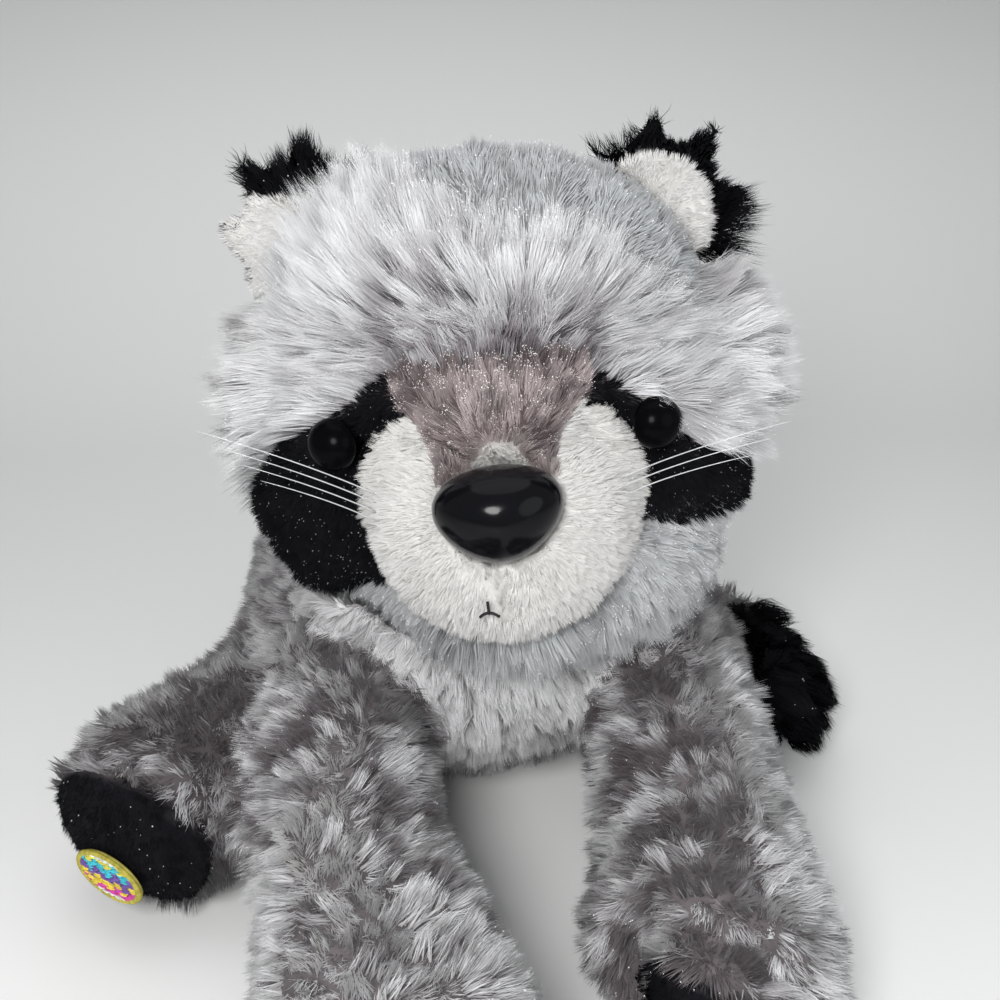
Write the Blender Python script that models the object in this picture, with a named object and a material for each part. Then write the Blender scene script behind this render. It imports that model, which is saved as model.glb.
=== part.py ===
# Plush raccoon, lying low on its belly with its front legs stretched out.
# Metres, +Z up. The nose points along -Y, and the animal's own left is +X.
# The origin is on the floor, on the flat of the belly.
# Each soft solid is a sewn skin with its stuffing, out to the tips of its pile.

import math

import bmesh
import bpy
from mathutils import Matrix, Vector

MM = 0.001

# Clearances
GAP = 0.3 * MM
STITCH_GAP = 0.35 * MM
CUT_DEPTH = 4 * MM

# Body
BODY_LENGTH = 106 * MM
BODY_WIDTH = 90 * MM
BODY_HEIGHT = 76 * MM
BODY_REAR_DROP = 7 * MM
BODY_SINK = 2 * MM
BODY_ROUND = 16 * MM
CHEST_WIDTH = 78 * MM
CHEST_DEPTH = 50 * MM
CHEST_HEIGHT = 56 * MM
CHEST_FORWARD = 41 * MM
CHEST_RISE = 39 * MM

# Head, in its own frame, which is tipped up and leans to the animal's right
HEAD_WIDTH = 86 * MM
HEAD_DEPTH = 74 * MM
HEAD_HEIGHT = 78 * MM
HEAD_FORWARD = 34 * MM
HEAD_RISE = 85 * MM
HEAD_SIDE = 4.3 * MM
HEAD_PITCH = 8
HEAD_ROLL = 4
HEAD_TURN = 5

# Face
MUZZLE_WIDTH = 51 * MM
MUZZLE_HEIGHT = 50 * MM
MUZZLE_DEPTH = 48 * MM
MUZZLE_INSET = 13 * MM
MUZZLE_DROP = 18 * MM
BRIDGE_WIDTH = 33 * MM
BRIDGE_HEIGHT = 24 * MM
BRIDGE_DEPTH = 26 * MM
BRIDGE_SINK = 5 * MM
CHIN_WIDTH = 70 * MM
CHIN_DEPTH = 46 * MM
CHIN_HEIGHT = 36 * MM
CHIN_SIDE = 6 * MM
EDGE_PILE = 0.7 * MM
MASK_PILE = 5 * MM
MASK_LOBE_PILE = 11 * MM
MASK_RIGHT_DROP = 62
MASK_LEFT_DROP = 44
CROWN_PILE = 10 * MM
CHEEK_RIGHT_PILE = 6 * MM
CHEEK_LEFT_PILE = 10 * MM
CHEEK_TUFT = 5 * MM

# Nose and eyes: moulded domes on shanks, each held by a washer inside
NOSE_WIDTH = 20.5 * MM
NOSE_HEIGHT = 15.5 * MM
NOSE_DEPTH = 8 * MM
NOSE_CROWN = 0.4 * MM
NOSE_LIFT = 16
NOSE_TILT = 4
NOSE_SHANK_RADIUS = 2.6 * MM
NOSE_SHANK_LENGTH = 13 * MM
NOSE_WASHER_RADIUS = 7.5 * MM
EYE_RADIUS = 4.4 * MM
EYE_DOME = 3.8 * MM
EYE_RIM = 0.5 * MM
EYE_SHANK_RADIUS = 1.6 * MM
EYE_SHANK_LENGTH = 15 * MM
EYE_WASHER_RADIUS = 5 * MM
WASHER_THICKNESS = 1.6 * MM
WASHER_STAND = 3 * MM

# Mouth and whiskers
MOUTH_WIDTH = 4 * MM
MOUTH_THREAD = 0.4 * MM
MOUTH_LIFT = -22
MOUTH_TURN = -4
WHISKER_RADIUS = 0.22 * MM
WHISKER_LENGTH = 27 * MM
WHISKER_RIGHT_RISE = 19 * MM
WHISKER_LEFT_RISE = 14 * MM
WHISKER_SAG = 5 * MM
WHISKER_AHEAD = 7 * MM
WHISKER_ROOT = 1.5 * MM
WHISKER_SEAT = 62
WHISKER_LIFT = 20
WHISKER_SPACING = 3.5

# Ears
EAR_WIDTH = 30 * MM
EAR_HEIGHT = 18 * MM
EAR_THICKNESS = 7 * MM
EAR_TUFT = 4 * MM
EAR_SINK = 9 * MM
EAR_BOW = 4 * MM
LINING_WIDTH = 22 * MM
LINING_HEIGHT = 15 * MM
LINING_THICKNESS = 6 * MM

# Legs and soles
FRONT_LEG_WIDTH = 36 * MM
FRONT_PAW_WIDTH = 43 * MM
FRONT_PAW_HEIGHT = 37 * MM
FRONT_RIGHT_REACH = 107 * MM
FRONT_RIGHT_TOE_IN = 9 * MM
FRONT_RIGHT_INSET = 17 * MM
FRONT_LEFT_REACH = 91 * MM
FRONT_LEFT_TOE_IN = 6 * MM
FRONT_LEFT_INSET = 8.5 * MM
SHOULDER_HEIGHT = 34 * MM
SHOULDER_FORWARD = 28 * MM
HIND_LEG_WIDTH = 33 * MM
HIND_FOOT_WIDTH = 42 * MM
HIND_FOOT_HEIGHT = 39 * MM
HIND_RIGHT_REACH = 89 * MM
HIND_RIGHT_SPREAD = 26 * MM
HIND_LEFT_REACH = 46 * MM
HIND_LEFT_SPREAD = 6 * MM
HIP_HEIGHT = 28 * MM
HIP_BACK = 20 * MM
SOLE_ROUND = 7 * MM
LEG_ROOT_ROUND = 12 * MM
PAD_WIDTH = 33 * MM
PAD_HEIGHT = 26 * MM
PAD_THICKNESS = 7 * MM
PATCH_WIDTH = 17 * MM
PATCH_HEIGHT = 10 * MM
PATCH_THICKNESS = 2.4 * MM
PATCH_ASIDE = 3 * MM
PATCH_LOW = 6 * MM

# Tail
TAIL_WIDTH = 26 * MM
TAIL_TIP_WIDTH = 27 * MM
TAIL_TIP_LENGTH = 14 * MM
TAIL_REACH = 88 * MM
TAIL_SPREAD = 24 * MM
TAIL_TUFT = 2.5 * MM
TAIL_BANDS = 6

AROUND_NECK = (
    "head",
    "chin",
    "muzzle",
    "mask_right",
    "mask_left",
    "cheek_ruff_right",
    "cheek_ruff_left",
)
SMALL = 1e-5
SHARP = 55


def clear_scene():
    for thing in list(bpy.data.objects):
        bpy.data.objects.remove(thing, do_unlink=True)


def finish(name, colour, roughness):
    made = bpy.data.materials.get(name) or bpy.data.materials.new(name)
    made.use_nodes = True
    shader = made.node_tree.nodes["Principled BSDF"]
    shader.inputs["Base Color"].default_value = (*colour, 1)
    shader.inputs["Roughness"].default_value = roughness
    shader.inputs["Metallic"].default_value = 0
    return made


def finishes():
    return {
        "mottled": finish("mottled_pile", (0.36, 0.33, 0.34), 0.9),
        "grey": finish("grey_pile", (0.42, 0.44, 0.46), 0.9),
        "pale": finish("pale_shag", (0.68, 0.67, 0.68), 0.9),
        "white": finish("white_pile", (0.82, 0.80, 0.77), 0.9),
        "taupe": finish("taupe_pile", (0.30, 0.24, 0.23), 0.9),
        "black": finish("black_pile", (0.010, 0.011, 0.015), 0.85),
        "moulding": finish("black_moulding", (0.004, 0.004, 0.006), 0.12),
        "washer": finish("washer_plastic", (0.75, 0.75, 0.72), 0.5),
        "thread": finish("black_thread", (0.01, 0.01, 0.01), 0.7),
        "filament": finish("clear_filament", (0.70, 0.70, 0.70), 0.3),
        "patch": finish("patch_thread", (0.72, 0.66, 0.16), 0.7),
    }


# Frames and points


def head_frame():
    place = Matrix.Translation((HEAD_SIDE, -HEAD_FORWARD, HEAD_RISE))
    pitch = Matrix.Rotation(-math.radians(HEAD_PITCH), 4, "X")
    roll = Matrix.Rotation(-math.radians(HEAD_ROLL), 4, "Y")
    turn = Matrix.Rotation(-math.radians(HEAD_TURN), 4, "Z")
    return place @ turn @ pitch @ roll


def toward(turn, lift):
    """Unit vector turned from straight ahead to the animal's left, and lifted, in degrees."""
    turn, lift = math.radians(turn), math.radians(lift)
    flat = math.cos(lift)
    return Vector((math.sin(turn) * flat, -math.cos(turn) * flat, math.sin(lift)))


def on_head(turn, lift, out=0.0):
    """A point of the head's ellipsoid in the head's frame, moved out along its normal."""
    half = Vector((HEAD_WIDTH, HEAD_DEPTH, HEAD_HEIGHT)) / 2
    way = toward(turn, lift)
    point = Vector(a * b for a, b in zip(half, way))
    normal = Vector(b / a for a, b in zip(half, way)).normalized()
    return point + normal * out


def outward_frame(point, outward, upward=(0, 0, 1)):
    """A frame at point whose -Y axis looks along outward and whose Z axis is near upward."""
    back = -Vector(outward).normalized()
    side = back.cross(Vector(upward)).normalized()
    rise = side.cross(back)
    turned = Matrix((side, back, rise)).transposed().to_4x4()
    return Matrix.Translation(point) @ turned


def smooth(share):
    share = min(max(share, 0.0), 1.0)
    return share * share * (3 - 2 * share)


def mix(a, b, share):
    return a + (b - a) * share


# Building


def settle(mesh):
    """Turns the faces outward and splits them the same way in a piece and in its grown copy."""
    bmesh.ops.recalc_face_normals(mesh, faces=mesh.faces)
    bmesh.ops.triangulate(mesh, faces=mesh.faces, quad_method="FIXED")
    return mesh


def closed_rings(rings, first_pole=None, last_pole=None):
    """One closed mesh from rings of points, with a point or a flat face at each end."""
    mesh = bmesh.new()
    loops = [[mesh.verts.new(p) for p in ring] for ring in rings]
    for near, far in zip(loops, loops[1:]):
        for i in range(len(near)):
            j = (i + 1) % len(near)
            mesh.faces.new((near[i], near[j], far[j], far[i]))
    for loop, pole, start in ((loops[0], first_pole, True), (loops[-1], last_pole, False)):
        if pole is None:
            mesh.faces.new(loop if start else loop[::-1])
            continue
        tip = mesh.verts.new(pole)
        for i in range(len(loop)):
            j = (i + 1) % len(loop)
            mesh.faces.new((loop[j], loop[i], tip) if start else (loop[i], loop[j], tip))
    return settle(mesh)


def shade(data):
    data.shade_smooth()
    data.set_sharp_from_angle(angle=math.radians(SHARP))


def add_object(name, mesh, material, frame=None):
    if frame is not None:
        mesh.transform(frame)
    data = bpy.data.meshes.new(name)
    mesh.to_mesh(data)
    mesh.free()
    if material is not None:
        data.materials.append(material)
    made = bpy.data.objects.new(name, data)
    bpy.context.scene.collection.objects.link(made)
    shade(data)
    return made


def hide_cutter(cutter):
    cutter.hide_render = True
    cutter.display_type = "WIRE"
    return cutter


def combine(piece, other, operation):
    """Applies a Boolean to piece, and drops the loose crumbs that a cut can leave."""
    step = piece.modifiers.new("shape", "BOOLEAN")
    step.operation = operation
    step.solver = "EXACT"
    step.object = other
    bpy.context.view_layer.update()
    graph = bpy.context.evaluated_depsgraph_get()
    data = bpy.data.meshes.new_from_object(piece.evaluated_get(graph))
    piece.modifiers.clear()
    mesh = bmesh.new()
    mesh.from_mesh(data)
    bmesh.ops.dissolve_degenerate(mesh, edges=mesh.edges, dist=SMALL)
    bmesh.ops.triangulate(mesh, faces=mesh.faces)
    islands = loose_parts(mesh)
    kept = max(islands, key=len, default=set())
    crumbs = [v for island in islands if island is not kept for v in island]
    bmesh.ops.delete(mesh, geom=crumbs, context="VERTS")
    mesh.to_mesh(data)
    mesh.free()
    piece.data = data
    shade(data)


def loose_parts(mesh):
    left, islands = set(mesh.verts), []
    while left:
        front = [left.pop()]
        island = set(front)
        while front:
            for edge in front.pop().link_edges:
                for vert in edge.verts:
                    if vert in left:
                        left.discard(vert)
                        island.add(vert)
                        front.append(vert)
        islands.append(island)
    return islands


def cut(piece, *cutters):
    for cutter in cutters:
        combine(piece, cutter, "DIFFERENCE")


def flatten_on_floor(mesh):
    """Cuts a mesh off at the floor with one flat face, as the stuffing spreads where it rests."""
    found = bmesh.ops.bisect_plane(
        mesh,
        geom=mesh.verts[:] + mesh.edges[:] + mesh.faces[:],
        plane_co=(0, 0, 0),
        plane_no=(0, 0, -1),
        clear_outer=True,
    )
    rim = [e for e in found["geom_cut"] if isinstance(e, bmesh.types.BMEdge)]
    bmesh.ops.contextual_create(mesh, geom=rim)
    bmesh.ops.recalc_face_normals(mesh, faces=mesh.faces)
    return mesh


def bell(share, power):
    """Rises from 0 to 1 and back as share goes from 0 to 1."""
    return math.sin(math.pi * min(max(share, 0.0), 1.0)) ** power


def ridges(angle, count):
    """Tufts round a form: 1 on a ridge, 0 between two."""
    return 0.5 + 0.5 * math.cos(angle * count)


def blob(size, grow=0.0, across=20, down=12, tufts=0, tuft_height=0.0):
    """An ellipsoid of that size whose poles lie front and back, with tufts that run from pole to pole."""
    half = Vector(size) / 2 + Vector((grow, grow, grow))
    rings = []
    for i in range(1, down):
        tip = math.pi * i / down
        ring = []
        for j in range(across):
            turn = 2 * math.pi * j / across
            rise = tuft_height * math.sin(tip) ** 2 * ridges(turn, tufts) if tufts else 0.0
            radius = math.sin(tip)
            side = (half.x + rise) * radius * math.sin(turn)
            height = (half.z + rise) * radius * math.cos(turn)
            ring.append((side, -half.y * math.cos(tip), height))
        rings.append(ring)
    return closed_rings(rings, (0, -half.y, 0), (0, half.y, 0))


def shell_on_head(outline, pile, grow=0.0, across=16, along=10):
    """A pad on the head. With u and v from 0 to 1, outline gives turn and lift, and pile the height."""
    spread = grow / (HEAD_HEIGHT / 2)
    stretch = 1 + 2 * spread

    def point(i, j, out):
        u = 0.5 + (i / across - 0.5) * (stretch if grow else 1)
        v = 0.5 + (j / along - 0.5) * (stretch if grow else 1)
        return on_head(*outline(u, v), out)

    mesh = bmesh.new()
    base = GAP if not grow else -CUT_DEPTH
    outer = {}
    inner = {}
    for i in range(across + 1):
        for j in range(along + 1):
            u, v = i / across, j / along
            outer[i, j] = mesh.verts.new(point(i, j, GAP + grow + pile(u, v)))
            inner[i, j] = mesh.verts.new(point(i, j, base))
    for i in range(across):
        for j in range(along):
            for side in (outer, inner):
                mesh.faces.new((side[i, j], side[i + 1, j], side[i + 1, j + 1], side[i, j + 1]))
    rim = [(i, 0) for i in range(across)] + [(across, j) for j in range(along)]
    rim += [(i, along) for i in range(across, 0, -1)] + [(0, j) for j in range(along, 0, -1)]
    for a, b in zip(rim, rim[1:] + rim[:1]):
        mesh.faces.new((outer[a], outer[b], inner[b], inner[a]))
    return settle(mesh)


def spine(points, steps):
    """Points along a smooth curve through the given ones, each with its radii."""
    made = []
    padded = [points[0], *points, points[-1]]
    for k in range(1, len(padded) - 2):
        a, b, c, d = padded[k - 1 : k + 3]
        for s in range(steps):
            t = s / steps
            made.append(
                [
                    0.5
                    * (
                        2 * q
                        + (r - p) * t
                        + (2 * p - 5 * q + 4 * r - w) * t * t
                        + (3 * q - p - 3 * r + w) * t**3
                    )
                    for p, q, r, w in zip(a, b, c, d)
                ]
            )
    made.append(list(points[-1]))
    return made


def oval(centre, ahead, wide, high, scale, sides):
    """A ring of points square to ahead, with its long and short halves level and upright."""
    side = ahead.cross(Vector((0, 0, 1))).normalized()
    rise = side.cross(ahead)
    turns = [2 * math.pi * j / sides for j in range(sides)]
    return [centre + (side * wide * math.cos(t) + rise * high * math.sin(t)) * scale for t in turns]


def limb(points, steps=3, sides=16, start_round=0.0, end_round=0.0, grow=0.0):
    """A stuffed tube along points (x, y, z, half width, half height), with rounded or flat ends."""
    path = spine(points, steps)
    stations = []
    for k, row in enumerate(path):
        before, after = path[max(k - 1, 0)], path[min(k + 1, len(path) - 1)]
        ahead = (Vector(after[:3]) - Vector(before[:3])).normalized()
        stations.append((Vector(row[:3]), ahead, row[3] + grow, row[4] + grow))

    rings = [oval(*row, 1, sides) for row in stations]
    poles = [None, None]
    for end, length in ((0, start_round), (-1, end_round)):
        if not length:
            continue
        centre, ahead, wide, high = stations[end]
        away = -ahead if end == 0 else ahead
        domes = []
        for tip in (30, 58, 78):
            tip = math.radians(tip)
            middle = centre + away * (length + grow) * math.sin(tip)
            domes.append(oval(middle, ahead, wide, high, math.cos(tip), sides))
        rings = domes[::-1] + rings if end == 0 else rings + domes
        poles[end] = centre + away * (length + grow)
    if grow:
        rings = grow_flat_ends(rings, poles, stations, grow)
    return closed_rings(rings, *poles)


def grow_flat_ends(rings, poles, stations, grow):
    """Moves flat ends out by grow, so that a grown copy clears them."""
    for end in (0, -1):
        if poles[end] is None:
            away = stations[end][1] * (-grow if end == 0 else grow)
            rings[end] = [p + away for p in rings[end]]
    return rings


def turned(profile, sides=16):
    """A closed solid turned about the Y axis, from (y, radius) points. End points on the axis are poles."""
    rings = []
    for y, radius in profile:
        if radius > 0:
            steps = [2 * math.pi * j / sides for j in range(sides)]
            rings.append([(radius * math.sin(t), y, radius * math.cos(t)) for t in steps])
    ends = [(0, y, 0) if radius == 0 else None for y, radius in (profile[0], profile[-1])]
    return closed_rings(rings, *ends)


def washer(outer, inner, thickness, sides=16):
    """A flat ring about the Y axis, centred on the origin."""
    half = thickness / 2
    corners = [(-half, outer), (half, outer), (half, inner), (-half, inner)]
    mesh = bmesh.new()
    loops = []
    for y, radius in corners:
        steps = [2 * math.pi * j / sides for j in range(sides)]
        loops.append([mesh.verts.new((radius * math.sin(t), y, radius * math.cos(t))) for t in steps])
    for near, far in zip(loops, loops[1:] + loops[:1]):
        for i in range(sides):
            j = (i + 1) % sides
            mesh.faces.new((near[i], near[j], far[j], far[i]))
    return settle(mesh)


class Plush:
    """Collects each piece with its grown copy, which cuts the pieces that meet it."""

    def __init__(self):
        self.pieces = {}
        self.cutters = {}

    def add(self, name, build, material, frame=None, cut_by=(), floor=False, spare=True):
        mesh = build(0.0)
        if frame is not None:
            mesh.transform(frame)
        if floor:
            flatten_on_floor(mesh)
        piece = add_object(name, mesh, material)
        if spare:
            self.cutters[name] = hide_cutter(add_object(name + "_cutter", build(GAP), None, frame))
        cut(piece, *(self.cutters[other] for other in cut_by))
        self.pieces[name] = piece
        return piece


# Head and face


def muzzle_centre():
    return Vector((0, MUZZLE_INSET - HEAD_DEPTH / 2, -MUZZLE_DROP))


def nose_mesh(grow=0.0):
    """The moulded nose: wide and flat on top, narrower below, on a round shank behind."""
    stations = [
        (-1.00, 0.30),
        (-0.86, 0.58),
        (-0.55, 0.84),
        (-0.15, 0.98),
        (0.10, 1.00),
        (0.25, 0.93),
    ]
    rings = []
    for depth, scale in stations:
        y = depth * NOSE_DEPTH + (grow if depth > 0.2 else -grow)
        ring = []
        for j in range(20):
            turn = 2 * math.pi * j / 20
            wide = (NOSE_WIDTH / 2) * (1 + 0.20 * math.cos(turn)) * math.sin(turn)
            high = (NOSE_HEIGHT / 2) * math.cos(turn)
            reach = Vector((wide, 0, high)) * scale
            reach += reach.normalized() * grow
            ring.append((reach.x, y, reach.z))
        rings.append(ring)
    shank = NOSE_SHANK_RADIUS + grow
    foot = 0.25 * NOSE_DEPTH + grow
    for y in (foot, foot + NOSE_SHANK_LENGTH):
        steps = [2 * math.pi * j / 20 for j in range(20)]
        rings.append([(shank * math.sin(t), y, shank * math.cos(t)) for t in steps])
    rings[-2] = [(x, y + SMALL, z) for x, y, z in rings[-2]]
    return closed_rings(rings, (0, -NOSE_DEPTH * 1.06 - grow, NOSE_CROWN), None)


def eye_mesh(grow=0.0):
    radius, shank = EYE_RADIUS + grow, EYE_SHANK_RADIUS + grow
    profile = [(-EYE_DOME - grow, 0.0)]
    for tip in (24, 48, 70):
        tip = math.radians(tip)
        profile.append((-(EYE_DOME + grow) * math.cos(tip), radius * math.sin(tip)))
    profile += [(-EYE_RIM, radius), (EYE_RIM + grow, radius * 0.94)]
    profile += [(EYE_RIM + grow + SMALL, shank), (EYE_SHANK_LENGTH + grow, shank)]
    return turned(profile)


def nose_frame():
    outward = toward(0, NOSE_LIFT)
    half = Vector((MUZZLE_WIDTH, MUZZLE_DEPTH, MUZZLE_HEIGHT)) / 2
    seat = muzzle_centre() + Vector(a * b for a, b in zip(half, outward))
    tilt = Matrix.Rotation(-math.radians(NOSE_TILT), 4, "Y")
    return outward_frame(seat - outward * 0.12 * NOSE_DEPTH, outward) @ tilt


def mask_outline(side, drop):
    """The black field: narrow beside the bridge, and widening out and down over the cheek."""

    def outline(u, v):
        inner = mix(14, 30, smooth(v))
        outer = mix(48, 82, smooth(v * 1.25))
        lift = mix(15, -drop, v) + mix(0, 11, u) * smooth(v * 1.5)
        return side * mix(inner, outer, u), lift

    return outline


def mask_pile(u, v):
    inside = smooth(u * 1.5) * smooth((1 - u) * 5) * smooth(v * 4) * smooth((1 - v) * 5)
    return mix(EDGE_PILE, mix(MASK_PILE, MASK_LOBE_PILE, smooth(v * 1.6 - 0.4)), inside)


def crown_outline(u, v):
    """The shaggy brow and crown, from one temple over the forehead to the other."""
    swing = math.radians(mix(-57, 57, u))
    raised = math.radians(mix(14 - 5 * math.cos(swing), 104, v))
    side, flat = math.sin(swing), math.cos(swing)
    way = Vector((side, -flat * math.cos(raised), flat * math.sin(raised)))
    return math.degrees(math.atan2(way.x, -way.y)), math.degrees(math.asin(way.z))


def crown_pile(u, v):
    tuft = 0.16 * ridges(u * 2 * math.pi, 8) * smooth(v * 3)
    return mix(EDGE_PILE, CROWN_PILE * (1 + tuft), bell(v, 0.45) * bell(u, 0.35))


def cheek_outline(side):
    """The shaggy cheek behind the mask, from the temple down to the jaw."""

    def outline(u, v):
        lift = mix(34, -13, v) + mix(0, -10, u) * v
        return side * mix(mix(62, 54, v), 118, u), lift

    return outline


def cheek_pile(pile):
    def height(u, v):
        inside = bell(u, 0.5) * bell(v, 0.4)
        tuft = CHEEK_TUFT * ridges(v * 2 * math.pi, 4) * bell(u, 1)
        return mix(EDGE_PILE, pile + tuft, inside)

    return height


def ear_mesh(width, height, thickness, bend, tuft, count, grow=0.0):
    """A half-round ear standing on Z = 0, its front hollow, with tufts that stand out of its rim."""
    arcs, radial = 18, 3
    centre_depth = thickness / 2 + grow
    mesh = bmesh.new()

    def place(i, k, face):
        turn = math.radians(mix(-102, 102, i / arcs))
        spike = tuft * ridges(turn, count) * math.sin(math.pi * i / arcs) ** 0.6
        share = k / radial
        edge = 1.0 + (spike * share**3 + grow * share) / (width / 2)
        x = math.sin(turn) * width / 2 * share * edge
        z = (0.30 + 0.70 * math.cos(turn)) * height * share * edge
        bow = bend * share * share * abs(math.sin(turn)) ** 1.5
        thin = centre_depth * (1 - 0.72 * share**2)
        return (x, -bow + face * thin, z)

    sheets = []
    for face in (-1, 1):
        centre = mesh.verts.new(place(0, 0, face))
        rows = [[mesh.verts.new(place(i, k, face)) for i in range(arcs + 1)] for k in range(1, radial + 1)]
        for i in range(arcs):
            mesh.faces.new((centre, rows[0][i], rows[0][i + 1]))
            for a, b in zip(rows, rows[1:]):
                mesh.faces.new((a[i], b[i], b[i + 1], a[i + 1]))
        sheets.append((centre, rows))
    (near_hub, near), (far_hub, far) = sheets
    for i in range(arcs):
        mesh.faces.new((near[-1][i], near[-1][i + 1], far[-1][i + 1], far[-1][i]))
    for end in (0, arcs):
        near_edge = [near_hub] + [row[end] for row in near]
        far_edge = [far_hub] + [row[end] for row in far]
        for k in range(radial):
            mesh.faces.new((near_edge[k], near_edge[k + 1], far_edge[k + 1], far_edge[k]))
    return settle(mesh)


def ear_frame(side, forward=0.0):
    """The ear stands on the upper side of the head, its hollow looking forward and a little outward."""
    seat = on_head(side * 100, 47, -EAR_SINK)
    rise = Vector((side * 0.66, 0.10, 0.75)).normalized()
    look = Vector((side * 0.18, -1, 0.08))
    return outward_frame(seat + look.normalized() * forward, look - rise * look.dot(rise), rise)


def build_head(plush, paint):
    frame = head_frame()
    head_size = (HEAD_WIDTH, HEAD_DEPTH, HEAD_HEIGHT)
    plush.add("head", lambda g: blob(head_size, g, 20, 12), paint["grey"], frame)

    muzzle_frame = frame @ Matrix.Translation(muzzle_centre())
    muzzle_size = (MUZZLE_WIDTH, MUZZLE_DEPTH, MUZZLE_HEIGHT)
    plush.add("muzzle", lambda g: blob(muzzle_size, g, 20, 11), paint["white"], muzzle_frame, ["head"])

    chin_place = Vector((CHIN_SIDE, -0.19 * HEAD_DEPTH, -0.35 * HEAD_HEIGHT))
    chin_frame = frame @ Matrix.Translation(chin_place)
    chin_size = (CHIN_WIDTH, CHIN_DEPTH, CHIN_HEIGHT)
    plush.add("chin", lambda g: blob(chin_size, g, 18, 9), paint["grey"], chin_frame, ["head", "muzzle"])

    bridge_place = on_head(0, 1, -BRIDGE_SINK)
    bridge_frame = frame @ Matrix.Translation(bridge_place)
    bridge_size = (BRIDGE_WIDTH, BRIDGE_DEPTH, BRIDGE_HEIGHT)
    plush.add(
        "nose_bridge", lambda g: blob(bridge_size, g, 16, 8), paint["taupe"], bridge_frame, ["head", "muzzle"]
    )

    for side, word, drop in ((-1, "right", MASK_RIGHT_DROP), (1, "left", MASK_LEFT_DROP)):
        plush.add(
            "mask_" + word,
            lambda g, s=side, d=drop: shell_on_head(mask_outline(s, d), mask_pile, g, 7, 9),
            paint["black"],
            frame,
            ["muzzle", "chin", "nose_bridge"],
        )
    plush.add(
        "crown_ruff",
        lambda g: shell_on_head(crown_outline, crown_pile, g, 22, 6),
        paint["pale"],
        frame,
        ["nose_bridge", "mask_right", "mask_left"],
    )
    for side, word, pile in ((-1, "right", CHEEK_RIGHT_PILE), (1, "left", CHEEK_LEFT_PILE)):
        plush.add(
            "cheek_ruff_" + word,
            lambda g, s=side, p=pile: shell_on_head(cheek_outline(s), cheek_pile(p), g, 6, 12),
            paint["pale"],
            frame,
            ["crown_ruff", "chin", "mask_" + word],
        )
        build_ear(plush, paint, frame, side, word)
    build_nose_and_eyes(plush, paint, frame, muzzle_frame)
    build_mouth(plush, paint, muzzle_frame)
    build_whiskers(plush, paint, muzzle_frame)


def build_ear(plush, paint, frame, side, word):
    plush.add(
        "ear_" + word,
        lambda g: ear_mesh(EAR_WIDTH, EAR_HEIGHT + EAR_SINK, EAR_THICKNESS, EAR_BOW, EAR_TUFT, 9, g),
        paint["black"],
        frame @ ear_frame(side),
        ["head", "crown_ruff", "cheek_ruff_" + word],
    )
    plush.add(
        "ear_lining_" + word,
        lambda g: ear_mesh(LINING_WIDTH, LINING_HEIGHT + EAR_SINK, LINING_THICKNESS, EAR_BOW / 2, 0, 1, g),
        paint["white"],
        frame @ ear_frame(side, EAR_THICKNESS * 0.32),
        ["head", "crown_ruff", "cheek_ruff_" + word, "ear_" + word],
    )


def build_nose_and_eyes(plush, paint, frame, muzzle_frame):
    """Each dome's shank runs inwards through a washer. The soft pieces are cut for dome, shank and washer."""
    place = frame @ nose_frame()
    plush.add("nose", nose_mesh, paint["moulding"], place)
    behind = 0.25 * NOSE_DEPTH + NOSE_SHANK_LENGTH - WASHER_STAND
    washer_place = place @ Matrix.Translation((0, behind, 0))

    def nose_washer(grow):
        hole = NOSE_SHANK_RADIUS + GAP - grow
        return washer(NOSE_WASHER_RADIUS + grow, hole, WASHER_THICKNESS + 2 * grow)

    plush.add("nose_washer", nose_washer, paint["washer"], washer_place)
    for name in ("muzzle", "nose_bridge", "head"):
        cut(plush.pieces[name], plush.cutters["nose"], plush.cutters["nose_washer"])

    for side, word in ((-1, "right"), (1, "left")):
        outward = toward(side * 30, 2)
        seat = on_head(side * 34, -1, MASK_PILE * 0.95)
        place = frame @ outward_frame(seat, outward)
        plush.add("eye_" + word, eye_mesh, paint["moulding"], place)
        washer_place = place @ Matrix.Translation((0, EYE_SHANK_LENGTH - WASHER_STAND, 0))

        def eye_washer(grow):
            hole = EYE_SHANK_RADIUS + GAP - grow
            return washer(EYE_WASHER_RADIUS + grow, hole, WASHER_THICKNESS + 2 * grow)

        plush.add("eye_washer_" + word, eye_washer, paint["washer"], washer_place)
        for name in ("mask_" + word, "muzzle", "nose_bridge", "head", "crown_ruff"):
            cut(plush.pieces[name], plush.cutters["eye_" + word], plush.cutters["eye_washer_" + word])


def on_muzzle(turn, lift, out=0.0):
    half = Vector((MUZZLE_WIDTH, MUZZLE_DEPTH, MUZZLE_HEIGHT)) / 2
    way = toward(turn, lift)
    return Vector(a * b for a, b in zip(half, way)) + way * out


def thread(points, radius, sides=6):
    """A closed tube of constant radius along points."""
    rows = [(*p, radius, radius) for p in points]
    return limb(rows, 1, sides)


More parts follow.
